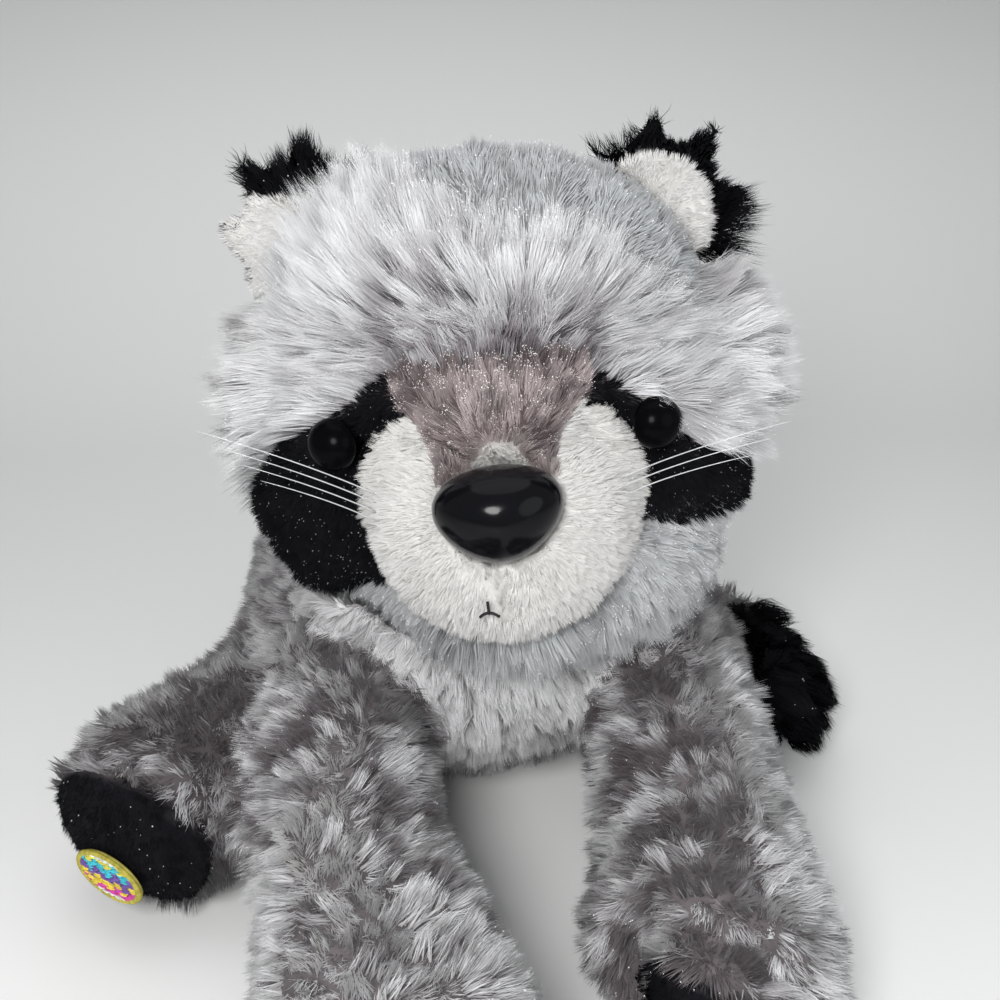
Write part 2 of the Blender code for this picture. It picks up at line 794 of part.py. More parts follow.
def build_mouth(plush, paint, muzzle_frame):
    """A short upright stitch below the nose and a shallow arched one across its foot."""
    half_turn = math.degrees(MOUTH_WIDTH / MUZZLE_WIDTH)
    rise = MOUTH_THREAD * 0.2
    across = [
        on_muzzle(MOUTH_TURN + half_turn * s, MOUTH_LIFT - 2 * s * s, rise) for s in (-1, -0.5, 0, 0.5, 1)
    ]
    upright = [on_muzzle(MOUTH_TURN, MOUTH_LIFT + lift, rise) for lift in (5, 3, 1, -0.5)]
    stitch = add_object("mouth_stitch", thread(across, MOUTH_THREAD), paint["thread"], muzzle_frame)
    other = add_object("mouth_upright", thread(upright, MOUTH_THREAD), None, muzzle_frame)
    combine(stitch, other, "UNION")
    bpy.data.objects.remove(other, do_unlink=True)
    cut(stitch, plush.cutters["muzzle"])
    plush.pieces["mouth_stitch"] = stitch


def build_whiskers(plush, paint, muzzle_frame):
    """Clear filaments that leave the muzzle's sides and bow up and outward."""
    for side, word, count, top in ((-1, "right", 4, WHISKER_RIGHT_RISE), (1, "left", 3, WHISKER_LEFT_RISE)):
        for k in range(count):
            lift = WHISKER_LIFT - WHISKER_SPACING * k
            start = on_muzzle(side * WHISKER_SEAT, lift, -WHISKER_ROOT)
            rise = top * (1 - 0.08 * k)
            reach = WHISKER_LENGTH * (1 - 0.13 * k)
            points = []
            for s in range(9):
                t = s / 8
                sag = -WHISKER_SAG * t * t
                ahead = -WHISKER_AHEAD * math.sin(math.pi * 0.6 * t)
                points.append(start + Vector((side * reach * t, ahead, rise * t + sag)))
            name = f"whisker_{word}_{k + 1}"
            plush.add(
                name,
                lambda g, p=points: thread(p, WHISKER_RADIUS + g, 5),
                paint["filament"],
                muzzle_frame,
                ["muzzle", "chin"],
                spare=False,
            )


# Body, legs and tail


def body_points():
    """The trunk from the chest back to the rump, as centres and half sizes."""
    wide, high = BODY_WIDTH / 2, BODY_HEIGHT / 2
    front, rear = -0.33 * BODY_LENGTH, 0.47 * BODY_LENGTH
    rows = []
    steps = ((0, 0.88, 0, 0.94), (0.35, 0.97, 0, 1), (0.7, 1, 0.5, 1), (1, 0.8, 1, 1))
    for share, width, drop, height in steps:
        half = high * height - drop * BODY_REAR_DROP
        rows.append((0, mix(front, rear, share), half - BODY_SINK, wide * width, half))
    return rows


def build_body(plush, paint):
    plush.add(
        "body",
        lambda g: limb(body_points(), 3, 20, BODY_ROUND, BODY_ROUND, g),
        paint["mottled"],
        None,
        AROUND_NECK,
        floor=True,
    )
    chest_place = Matrix.Translation((0, -CHEST_FORWARD, CHEST_RISE))
    plush.add(
        "chest",
        lambda g: blob((CHEST_WIDTH, CHEST_DEPTH, CHEST_HEIGHT), g, 18, 10),
        paint["mottled"],
        chest_place,
        ["body", *AROUND_NECK],
    )


def front_leg(side, reach, toe_in, inset):
    """From the shoulder, down and forward along the floor to the paw, as centres and half sizes."""
    leg, paw, height = FRONT_LEG_WIDTH / 2, FRONT_PAW_WIDTH / 2, FRONT_PAW_HEIGHT / 2
    out = BODY_WIDTH / 2 - inset
    rows = []
    steps = ((0, 0, 1, 0), (0.36, 0.2, 0.62, 0), (0.66, 0.35, 0.2, 0.1), (0.9, 0.85, 0, 1), (1, 1.4, 0, 0.8))
    for along, inward, rise, swell in steps:
        middle = mix(height, SHOULDER_HEIGHT, rise)
        wide = mix(leg, paw, swell)
        high = mix(leg, height, max(swell, 1 - rise))
        rows.append((side * (out - inward * toe_in), -SHOULDER_FORWARD - along * reach, middle, wide, high))
    return rows


def hind_leg(side, reach, spread, turn_out):
    """From the hip, forward beside the body to the foot, whose sole turns outward."""
    leg, foot, height = HIND_LEG_WIDTH / 2, HIND_FOOT_WIDTH / 2, HIND_FOOT_HEIGHT / 2
    out = BODY_WIDTH / 2 - leg * 0.6
    rows = []
    steps = ((0, 0, 1, 0), (0.35, 0, 0.7, 0), (0.65, 0.2, 0.3, 0.2), (0.88, 0.72, 0, 1), (1, 1.05, 0, 0.9))
    for along, outward, rise, swell in steps:
        outward = mix(along, outward, turn_out)
        middle = mix(height, HIP_HEIGHT, rise)
        wide, high = mix(leg, foot, swell), mix(leg, height, swell)
        rows.append((side * (out + outward * spread), HIP_BACK - along * reach, middle, wide, high))
    return rows


def leg_parts():
    return {
        "front_leg_right": front_leg(-1, FRONT_RIGHT_REACH, FRONT_RIGHT_TOE_IN, FRONT_RIGHT_INSET),
        "front_leg_left": front_leg(1, FRONT_LEFT_REACH, FRONT_LEFT_TOE_IN, FRONT_LEFT_INSET),
        "hind_leg_right": hind_leg(-1, HIND_RIGHT_REACH, HIND_RIGHT_SPREAD, 1),
        "hind_leg_left": hind_leg(1, HIND_LEFT_REACH, HIND_LEFT_SPREAD, 0),
    }


def sole_frame(points):
    """A frame at the middle of a leg's sole, looking out of it."""
    path = spine(points, 2)
    last, before = Vector(path[-1][:3]), Vector(path[-2][:3])
    ahead = (last - before).normalized()
    return outward_frame(last + ahead * SOLE_ROUND, ahead)


def build_legs(plush, paint):
    parts = leg_parts()
    around = ["body", "chest", *AROUND_NECK]
    made = []
    for name, points in parts.items():
        plush.add(
            name,
            lambda g, p=points: limb(p, 2, 16, LEG_ROOT_ROUND, SOLE_ROUND, g),
            paint["mottled"],
            None,
            around + made,
            floor=True,
        )
        made.append(name)
    for name, points in parts.items():
        pad = name.replace("leg", "pad")
        plush.add(
            pad,
            lambda g: blob((PAD_WIDTH, PAD_THICKNESS, PAD_HEIGHT), g, 16, 6),
            paint["black"],
            sole_frame(points),
            ["body", "chest", *made],
            floor=True,
        )
    frame = sole_frame(parts["hind_leg_right"])
    low = Matrix.Translation((PATCH_ASIDE, -PAD_THICKNESS * 0.43, -PATCH_LOW))
    plush.add(
        "foot_patch",
        lambda g: blob((PATCH_WIDTH, PATCH_THICKNESS, PATCH_HEIGHT), g, 18, 6),
        paint["patch"],
        frame @ low,
        ["hind_pad_right", "hind_leg_right"],
        spare=False,
    )


def tail_points():
    """The tail leaves the rump and lies close along the animal's left side, its tip forward."""
    half, tip = TAIL_WIDTH / 2, TAIL_TIP_WIDTH / 2
    side = BODY_WIDTH / 2
    start = 0.47 * BODY_LENGTH + BODY_ROUND * 0.25
    steps = ((0, -1.2, 0), (0.05, -0.35, 0), (0.25, 0.36, 0), (0.5, 0.58, 0.4), (0.78, 0.88, 1), (1, 1, 0.5))
    rows = []
    for along, outward, swell in steps:
        middle = mix(half, tip, swell)
        rows.append((side + outward * TAIL_SPREAD, start - along * TAIL_REACH, middle * 0.95, middle, middle))
    return rows


def tail_band(rows, grow, last):
    """One fabric ring of the tail, its pile standing out in tufts. The last ring ends in a tufted tip."""
    sides = 16
    rings = []
    for k, (centre, ahead, wide, high) in enumerate(rows):
        swell = TAIL_TUFT * math.sin(math.pi * k / (len(rows) - 1))
        ring = oval(centre, ahead, wide + grow, high + grow, 1, sides)
        for j, point in enumerate(ring):
            away = (point - centre).normalized()
            ring[j] = point + away * swell * ridges(2 * math.pi * j / sides, 6)
        rings.append(ring)
    pole = None
    if last:
        centre, ahead, wide, high = rows[-1]
        for step, scale in ((0.5, 0.66), (0.85, 0.30)):
            ring = oval(centre, ahead, wide + grow, high + grow, scale, sides)
            for j, point in enumerate(ring):
                tuft = TAIL_TUFT * ridges(2 * math.pi * j / sides, 3)
                ring[j] = point + ahead * (TAIL_TIP_LENGTH * step + tuft)
            rings.append(ring)
        pole = centre + ahead * (TAIL_TIP_LENGTH + grow)
    return closed_rings(rings, None, pole)


def build_tail(plush, paint):
    path = spine(tail_points(), 5)
    rows = []
    for k, row in enumerate(path):
        before, after = path[max(k - 1, 0)], path[min(k + 1, len(path) - 1)]
        ahead = (Vector(after[:3]) - Vector(before[:3])).normalized()
        rows.append((Vector(row[:3]), ahead, row[3], row[4]))
    per_band = (len(rows) - 1) // TAIL_BANDS
    around = ["body", "hind_leg_left", "hind_pad_left", "front_leg_left"]
    previous = []
    for band in range(TAIL_BANDS):
        last = band == TAIL_BANDS - 1
        start = band * per_band
        end = len(rows) - 1 if last else start + per_band
        stretch = rows[start : end + 1]
        if band:
            centre, ahead, wide, high = stretch[0]
            stretch[0] = (centre + ahead * STITCH_GAP, ahead, wide, high)
        name = f"tail_band_{band + 1}"
        plush.add(
            name,
            lambda g, r=stretch, tip=last: tail_band(r, g, tip),
            paint["black"] if band % 2 else paint["grey"],
            None,
            around + previous,
            floor=True,
        )
        previous = [name]


def main():
    clear_scene()
    paint = finishes()
    plush = Plush()
    build_head(plush, paint)
    build_body(plush, paint)
    build_legs(plush, paint)
    build_tail(plush, paint)


main()
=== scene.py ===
import math
import time

import bmesh
import bpy
import numpy as np
from mathutils import Matrix, Vector
from mathutils.bvhtree import BVHTree
from mathutils.kdtree import KDTree


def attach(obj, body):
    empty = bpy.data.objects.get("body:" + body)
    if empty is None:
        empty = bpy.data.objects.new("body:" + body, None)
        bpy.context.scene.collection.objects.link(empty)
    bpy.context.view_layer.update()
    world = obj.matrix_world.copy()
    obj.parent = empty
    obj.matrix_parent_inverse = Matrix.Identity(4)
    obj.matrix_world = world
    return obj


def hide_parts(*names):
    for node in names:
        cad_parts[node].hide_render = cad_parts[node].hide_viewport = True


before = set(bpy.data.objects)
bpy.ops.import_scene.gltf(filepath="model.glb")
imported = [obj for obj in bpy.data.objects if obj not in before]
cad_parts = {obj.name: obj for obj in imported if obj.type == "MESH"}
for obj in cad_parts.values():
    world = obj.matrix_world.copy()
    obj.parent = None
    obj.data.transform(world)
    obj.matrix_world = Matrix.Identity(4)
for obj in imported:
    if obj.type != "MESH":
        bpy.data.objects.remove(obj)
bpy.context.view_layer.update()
began = time.time()
mm = 0.001


def note(words):
    print("raccoon: %s (%.0f s)" % (words, time.time() - began))


def wayTo(turn, lift):
    # from a turn to the left and a lift, in degrees; 0 and 0 look straight ahead
    turn, lift = math.radians(turn), math.radians(lift)
    return Vector((math.sin(turn) * math.cos(lift), -math.cos(turn) * math.cos(lift), math.sin(lift)))


# materials
def newMaterial(name):
    made = bpy.data.materials.new(name)
    made.use_nodes = True
    return made, made.node_tree.nodes, made.node_tree.links, made.node_tree.nodes["Principled BSDF"]


def setInputs(node, values):
    for socket, value in values.items():
        node.inputs[socket].default_value = value


def addNode(nodes, kind, values={}, **options):
    made = nodes.new("ShaderNode" + kind)
    for option, value in options.items():
        setattr(made, option, value)
    setInputs(made, values)
    return made


def joinUp(links, *pairs):
    # each pair is a node and its output, and a node and its input
    for source, out, target, into in pairs:
        links.new(source.outputs[out], target.inputs[into])


def blend(nodes, first, last):
    return addNode(nodes, "Mix", {"A": (*first, 1), "B": (*last, 1)}, data_type="RGBA")


def patternOn(nodes, links, kind, values):
    # a pattern in the object's own coordinates
    place = addNode(nodes, "TexCoord")
    made = addNode(nodes, kind, values)
    joinUp(links, (place, "Object", made, "Vector"))
    return made


def addRelief(nodes, links, pattern, shader, strength, distance):
    bump = addNode(nodes, "Bump", {"Strength": strength, "Distance": distance})
    joinUp(links, (pattern, "Fac", bump, "Height"), (bump, "Normal", shader, "Normal"))


# camera, floor and lamps
studio = {
    "lens": 43.45,
    "cameraAt": (-14.0, -254.2, 152.7),      # mm
    "azimuth": -5,
    "elevation": 22,
    "lamps": {                               # place and target in mm, size in metres, power, colour
        "key": ((-75, -340, 235), (0, -70, 60), 0.12, 1.0, (1, 1, 1)),
        "fill": ((330, -330, 200), (0, -40, 50), 0.35, 0.36, (0.96, 0.98, 1)),
        "top": ((0, 40, 520), (0, 0, 40), 0.5, 0.60, (1, 1, 1)),
        "back": ((-40, 420, 300), (0, 20, 60), 0.4, 0.5, (1, 1, 1)),
    },
    "world": 0.36,
    "worldColour": (0.95, 0.97, 1, 1),
    "floorColour": (0.88, 0.88, 0.87),
    # the wall's tone is painted shade on the same paper as the floor
    "wallShadeColour": (0.155, 0.165, 0.165),
}
# the sheet of paper behind the toy, in metres
sheetSet = {"near": -1.2, "bendFrom": 0.18, "bend": 0.2, "steps": 12, "high": 1.6, "half": 1.6,
            "wallFrom": 0.42}


def softLamp(name, at, target, size, power, colour):
    lamp = bpy.data.lights.new(name, "AREA")
    lamp.shape = "DISK"
    lamp.size = size
    lamp.energy = power
    lamp.color = colour
    made = bpy.data.objects.new(name, lamp)
    bpy.context.scene.collection.objects.link(made)
    made.location = Vector(at) * mm
    way = Vector(target) * mm - made.location
    made.rotation_euler = way.to_track_quat("-Z", "Y").to_euler()


def placeCamera(scene):
    lens = bpy.data.cameras.new("camera")
    lens.lens = studio["lens"]
    lens.sensor_width = 36
    lens.clip_start = 0.01
    camera = bpy.data.objects.new("camera", lens)
    scene.collection.objects.link(camera)
    back = wayTo(studio["azimuth"], studio["elevation"])
    turn = math.radians(studio["azimuth"])
    right = Vector((math.cos(turn), math.sin(turn), 0))
    place = Matrix((right, back.cross(right), back)).transposed().to_4x4()
    camera.matrix_world = Matrix.Translation(Vector(studio["cameraAt"]) * mm) @ place
    scene.camera = camera


def paperMaterial():
    # painted shade: the pale tone of the floor turns with height into the much darker tone of the wall, as if
    # the light fell off up the same paper
    made, nodes, links, shader = newMaterial("backdropPaper")
    place = addNode(nodes, "NewGeometry")
    parts = addNode(nodes, "SeparateXYZ")
    rise = addNode(nodes, "MapRange", {"From Min": 0.0, "From Max": sheetSet["wallFrom"]},
                   interpolation_type="SMOOTHERSTEP")
    tone = blend(nodes, studio["floorColour"], studio["wallShadeColour"])
    joinUp(links, (place, "Position", parts, 0), (parts, "Z", rise, "Value"), (rise, 0, tone, "Factor"),
           (tone, "Result", shader, "Base Color"))
    setInputs(shader, {"Roughness": 0.8, "Specular IOR Level": 0.2})
    return made


def layBackdrop(scene):
    # one sheet: the floor runs back and curves up into the wall
    start, bend, steps = sheetSet["bendFrom"], sheetSet["bend"], sheetSet["steps"]
    profile = [(sheetSet["near"], 0), (start, 0)]
    for i in range(1, steps + 1):
        angle = math.pi / 2 * i / steps
        profile.append((start + bend * math.sin(angle), bend - bend * math.cos(angle)))
    profile.append((start + bend, sheetSet["high"]))
    sheet = bmesh.new()
    rows = [[sheet.verts.new((x, y, z)) for x in (-sheetSet["half"], sheetSet["half"])] for y, z in profile]
    for near, far in zip(rows, rows[1:]):
        sheet.faces.new((near[0], near[1], far[1], far[0]))
    data = bpy.data.meshes.new("backdrop")
    sheet.to_mesh(data)
    sheet.free()
    data.shade_smooth()
    backdrop = bpy.data.objects.new("backdrop", data)
    scene.collection.objects.link(backdrop)
    data.materials.append(paperMaterial())


def setUpStudio():
    scene = bpy.context.scene
    scene.view_settings.view_transform = "Standard"
    placeCamera(scene)
    world = bpy.data.worlds.new("room")
    scene.world = world
    world.use_nodes = True
    sky = world.node_tree.nodes["Background"]
    setInputs(sky, {"Color": studio["worldColour"], "Strength": studio["world"]})
    for name, lamp in studio["lamps"].items():
        softLamp(name, *lamp)
    layBackdrop(scene)


setUpStudio()
note("studio ready")


# where things are on the head, as in the CAD
headSet = {
    "at": (4.3, -34, 85), "pitch": 8, "roll": 4, "turn": 5,
    "half": (43, 37, 39),
    "muzzleAt": (0, -24, -18), "muzzleHalf": (25.5, 24, 25), "noseAt": (0, -47.5, -11),
}
headFrame = (Matrix.Translation(headSet["at"]) @ Matrix.Rotation(-math.radians(headSet["turn"]), 4, "Z")
             @ Matrix.Rotation(-math.radians(headSet["pitch"]), 4, "X")
             @ Matrix.Rotation(-math.radians(headSet["roll"]), 4, "Y"))
headInverse = headFrame.inverted()


def toHead(points):
    turn = np.array(headInverse)
    return points @ turn[:3, :3].T + turn[:3, 3]


def fromHeadWay(ways):
    return ways @ np.array(headFrame)[:3, :3].T


def onHead(turn, lift, out=0.0):
    way = wayTo(turn, lift)
    half = Vector(headSet["half"])
    point = Vector(a * b for a, b in zip(half, way))
    normal = Vector(b / a for a, b in zip(half, way)).normalized()
    return headFrame @ (point + normal * out)


# small number tools
def unit(ways):
    return ways / np.maximum(np.linalg.norm(ways, axis=-1, keepdims=True), 1e-9)


def ease(low, high, value):
    share = np.clip((value - low) / (high - low), 0, 1)
    return share * share * (3 - 2 * share)


def cloud(points, grain, seed, layers=2):
    # a smooth pattern through space, about -1 to 1, in blotches of that many millimetres
    rng = np.random.default_rng(seed)
    total = np.zeros(len(points))
    for layer in range(layers):
        waves = rng.normal(size=(16, 3)) * (2.2 * 2 ** layer / grain)
        total += np.sin(points @ waves.T + rng.uniform(0, 6.28, 16)).sum(1) / (2.8 * 1.8 ** layer)
    return total * 0.8


def partings(points, lay, grain, seed):
    # winding lines that run mostly along lay, where the pile opens: how far off each point is, and the way
    # off the line
    rng = np.random.default_rng(seed)
    lay = unit(np.array(lay, float))
    waves = rng.normal(size=(20, 3)) * (2.2 / grain)
    waves = waves - 0.62 * (waves @ lay)[:, None] * lay
    angle = points @ waves.T + rng.uniform(0, 6.28, 20)
    value, slope = np.sin(angle).sum(1), np.cos(angle) @ waves
    steep = np.linalg.norm(slope, axis=1)
    return np.abs(value) / np.maximum(steep, 0.2), unit(slope) * np.sign(value)[:, None]


def flatOn(ways, normals):
    return unit(ways - normals * (ways * normals).sum(-1, keepdims=True))


# sewn skins from the solids
skinSet = {"voxel": 1.25, "overlap": 0.45, "rounds": 6, "keepShare": 0.14, "lowest": 0.2}


def nodeShell(node, swell=0.0):
    shell = bmesh.new()
    shell.from_mesh(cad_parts[node].data)
    bmesh.ops.remove_doubles(shell, verts=shell.verts, dist=1e-6)
    bmesh.ops.triangulate(shell, faces=shell.faces)
    shell.normal_update()
    if swell:
        for vert in shell.verts:
            vert.co += vert.normal * swell * mm
    return shell


def closedSkin(name, nodes, voxel=None):
    # the solids swell until they overlap, and one closed skin is wrapped round them
    joined = bmesh.new()
    for node in nodes:
        shell = nodeShell(node, skinSet["overlap"])
        part = bpy.data.meshes.new("part")
        shell.to_mesh(part)
        shell.free()
        joined.from_mesh(part)
        bpy.data.meshes.remove(part)
    data = bpy.data.meshes.new(name)
    joined.to_mesh(data)
    joined.free()
    skin = bpy.data.objects.new(name, data)
    bpy.context.scene.collection.objects.link(skin)
    wrap = skin.modifiers.new("wrap", "REMESH")
    wrap.mode = "VOXEL"
    wrap.voxel_size = (voxel or skinSet["voxel"]) * mm
    soften = skin.modifiers.new("soften", "SMOOTH")
    soften.iterations = skinSet["rounds"]
    graph = bpy.context.evaluated_depsgraph_get()
    made = bpy.data.meshes.new_from_object(skin.evaluated_get(graph))
    skin.modifiers.clear()
    skin.data = made
    bpy.data.meshes.remove(data)
    made.name = name
    return skin


def numbers(items, field, kind, width=1):
    found = np.empty(len(items) * width, kind)
    items.foreach_get(field, found)
    return found.reshape(-1, width) if width > 1 else found


def triangles(mesh):
    mesh.calc_loop_triangles()
    return numbers(mesh.loop_triangles, "vertices", np.int32, 3)


def vertNormals(mesh):
    return numbers(mesh.vertex_normals, "vector", np.float32, 3).astype(float)


class NodeFinder:
    # tells which solid a point belongs to
    def __init__(self, nodes):
        verts, faces, self.owner, self.nodes = [], [], [], nodes
        for i, node in enumerate(nodes):
            shell = nodeShell(node)
            shell.verts.ensure_lookup_table()
            base = len(verts)
            verts += [v.co / mm for v in shell.verts]
            faces += [[base + v.index for v in f.verts] for f in shell.faces]
            self.owner += [i] * len(shell.faces)
            shell.free()
        self.tree = BVHTree.FromPolygons(verts, faces)

    def of(self, points):
        return np.array([self.owner[self.tree.find_nearest(p)[2]] for p in points.tolist()])


def spreadOver(values, edges, rounds):
    # neighbouring points share their values, so that one kind of coat runs into the next
    count = np.bincount(edges.ravel(), minlength=len(values)).astype(float)[:, None] + 1
    values = values.reshape(len(values), -1)
    for _ in range(rounds):
        total = values.copy()
        for column in range(values.shape[1]):
            total[:, column] += np.bincount(edges[:, 0], values[edges[:, 1], column], len(values))
            total[:, column] += np.bincount(edges[:, 1], values[edges[:, 0], column], len(values))
        values = total / count
    return values


def fibreGroup():
    # shared by every coat: the strand's own colour, a little uneven dye, and shine on the odd strand
    group = bpy.data.node_groups.new("fibreFinish", "ShaderNodeTree")
    face = group.interface
    face.new_socket("Strand Colour", in_out="INPUT", socket_type="NodeSocketColor")
    numberSockets = {"Shine": 0.0, "Dye Grain": 260.0, "Dye Uneven": 0.12, "Dull": 0.62, "Bright": 0.16}
    for label, value in numberSockets.items():
        face.new_socket(label, in_out="INPUT", socket_type="NodeSocketFloat").default_value = value
    face.new_socket("Colour", in_out="OUTPUT", socket_type="NodeSocketColor")
    face.new_socket("Roughness", in_out="OUTPUT", socket_type="NodeSocketFloat")
    nodes = group.nodes
    given, out = nodes.new("NodeGroupInput"), nodes.new("NodeGroupOutput")
    place = addNode(nodes, "TexCoord")
    dye = addNode(nodes, "TexNoise", {"Detail": 3})
    tone = addNode(nodes, "MapRange", {"From Min": 0.3, "From Max": 0.7})
    low = addNode(nodes, "Math", {0: 1}, operation="SUBTRACT")
    high = addNode(nodes, "Math", {0: 1}, operation="ADD")
    tint = addNode(nodes, "VectorMath", operation="SCALE")
    rough = addNode(nodes, "MapRange")
    joinUp(group.links, (place, "Object", dye, "Vector"), (given, "Dye Grain", dye, "Scale"),
           (given, "Dye Uneven", low, 1), (given, "Dye Uneven", high, 1), (dye, "Fac", tone, "Value"),
           (low, 0, tone, "To Min"), (high, 0, tone, "To Max"),
           (given, "Strand Colour", tint, 0), (tone, 0, tint, "Scale"), (tint, 0, out, "Colour"),
           (given, "Shine", rough, "Value"), (given, "Dull", rough, "To Min"),
           (given, "Bright", rough, "To Max"), (rough, 0, out, "Roughness"))
    return group


fibreFinish = fibreGroup()


def fibreMaterial(name, values):
    # a material that takes its colour and shine from the fibres themselves
    made, nodes, links, shader = newMaterial(name)
    colour = addNode(nodes, "Attribute", attribute_name="strandColour")
    shine = addNode(nodes, "Attribute", attribute_name="strandShine")
    finish = addNode(nodes, "Group", node_tree=fibreFinish)
    setInputs(finish, values)
    joinUp(links, (colour, "Color", finish, "Strand Colour"), (shine, "Fac", finish, "Shine"),
           (finish, "Colour", shader, "Base Color"), (finish, "Roughness", shader, "Roughness"))
    return made, nodes, links, shader


def coatMaterial(name, sheen=0.3, uneven=0.1, dull=0.62, bright=0.16, specular=0.4):
    values = {"Dye Uneven": uneven, "Dull": dull, "Bright": bright}
    made, nodes, links, shader = fibreMaterial(name, values)
    setInputs(shader, {"Sheen Weight": sheen, "Sheen Roughness": 0.4, "Specular IOR Level": specular})
    # a strand seen from behind is lit as from the front
    geometry = addNode(nodes, "NewGeometry")
    side = addNode(nodes, "MapRange", {"To Min": 1, "To Max": -1})
    turned = addNode(nodes, "VectorMath", operation="SCALE")
    joinUp(links, (geometry, "Backfacing", side, "Value"), (geometry, "Normal", turned, 0),
           (side, 0, turned, "Scale"), (turned, 0, shader, "Normal"))
    return made


coatFinish = {
    "mottled_pile": coatMaterial("mottledPile", uneven=0.16),
    "grey_pile": coatMaterial("greyPile", uneven=0.1),
    "pale_shag": coatMaterial("paleShag", sheen=0.35, uneven=0.08, dull=0.5),
    "white_pile": coatMaterial("whitePile", sheen=0.25, uneven=0.06),
    "taupe_pile": coatMaterial("taupePile", uneven=0.14, dull=0.5),
    "black_pile": coatMaterial("blackPile", sheen=0.0, uneven=0.3, dull=0.8, bright=0.2, specular=0.05),
}


def colourPoints(mesh, colours):
    rgba = np.ones((len(mesh.vertices), 4), np.float32)
    rgba[:, :3] = colours
    mesh.attributes.new("strandColour", "FLOAT_COLOR", "POINT").data.foreach_set("color", rgba.ravel())


def shinePoints(mesh, shine):
    values = np.asarray(shine, np.float32)
    mesh.attributes.new("strandShine", "FLOAT", "POINT").data.foreach_set("value", values)


# strands
strandSet = {
    "taper": 0.55,                  # width before the tip, as a share of the root's
    "lowest": 0.15,
    "mostTriangles": 198000,        # in one piece
    "lit": (0.8, 0.4, 0.35),        # shares of the coat's own normal, the strand's face and its roundness
}


def strandPiece(name, lines, sideways, halfWidth, normals, colours, shine, slot):
    # lines is (strands, points, 3) in millimetres. Each strand is a flat ribbon that ends in a point
    count, steps, _ = lines.shape
    per = 2 * (steps - 1) + 1
    taper = np.linspace(1, strandSet["taper"], steps - 1)
    verts = np.empty((count, per, 3))
    edgeOut = sideways * halfWidth[:, None]
    for i in range(steps - 1):
        verts[:, 2 * i] = lines[:, i] - edgeOut * taper[i]
        verts[:, 2 * i + 1] = lines[:, i] + edgeOut * taper[i]
    verts[:, -1] = lines[:, -1]
    verts[:, :, 2] = np.maximum(verts[:, :, 2], strandSet["lowest"])
    ring = np.repeat(np.arange(steps - 1), 2)
    ring = np.append(ring, steps - 1)
    faces = [(2 * i, 2 * i + 1, 2 * i + 3, 2 * i + 2) for i in range(steps - 2)]
    corners = [c for f in faces for c in f] + [per - 3, per - 2, per - 1]
    base = (np.arange(count) * per)[:, None]
    loops = (base + np.array(corners)).ravel()
    starts = [4 * i for i in range(steps - 1)]
    starts = (np.arange(count) * len(corners))[:, None] + np.array(starts)
    mesh = bpy.data.meshes.new(name)
    mesh.vertices.add(count * per)
    mesh.vertices.foreach_set("co", (verts * mm).astype(np.float32).ravel())
    mesh.loops.add(len(loops))
    mesh.loops.foreach_set("vertex_index", loops.astype(np.int32))
    mesh.polygons.add(starts.size)
    mesh.polygons.foreach_set("loop_start", starts.astype(np.int32).ravel())
    mesh.update(calc_edges=True)
    mesh.validate()
    colourPoints(mesh, colours[:, ring].reshape(-1, 3))
    shinePoints(mesh, np.repeat(shine, per))
    # light falls on the coat as a whole and a little on each round strand
    along = unit(lines[:, 1:] - lines[:, :-1])
    along = np.concatenate([along, along[:, -1:]], 1)[:, ring]
    face = np.cross(np.repeat(sideways[:, None], per, 1), along)
    face *= np.sign((face * normals[:, None]).sum(-1, keepdims=True) + 1e-6)
    roll = np.where(np.arange(per) % 2, 1.0, -1.0)
    roll[-1] = 0
    coatShare, faceShare, roundShare = strandSet["lit"]
    shaded = normals[:, None] * coatShare + face * faceShare
    shaded = shaded + sideways[:, None] * roll[None, :, None] * roundShare
    shaded = unit(shaded).reshape(-1, 3)
    mesh.shade_smooth()
    mesh.normals_split_custom_set_from_vertices(shaded.astype(np.float32))
    mesh.materials.append(coatFinish[slot])
    made = bpy.data.objects.new(name, mesh)
    bpy.context.scene.collection.objects.link(made)
    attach(made, "root")


def joinGrown(parts):
    return {k: np.concatenate([p[k] for p in parts]) for k in parts[0]}


# what a coat is like where its own values don't say: angles in degrees, lengths in mm
# tinsel is the share of strands that carry a painted glint flake at the tip, and its size and colour
plainCoat = {
    "tuftTurn": 16, "tuftLean": 7, "tuftLong": 0.1, "stray": 12, "steps": 1, "bury": 0.5, "bend": 0,
    "tuftShade": 0.25, "strandShade": 0.25, "blotch": 10, "blotchShade": 0.4, "darkShare": 0.3,
    "tinsel": 0.01, "tinselSize": 1, "tinselColour": (0.97, 0.96, 0.95),
}


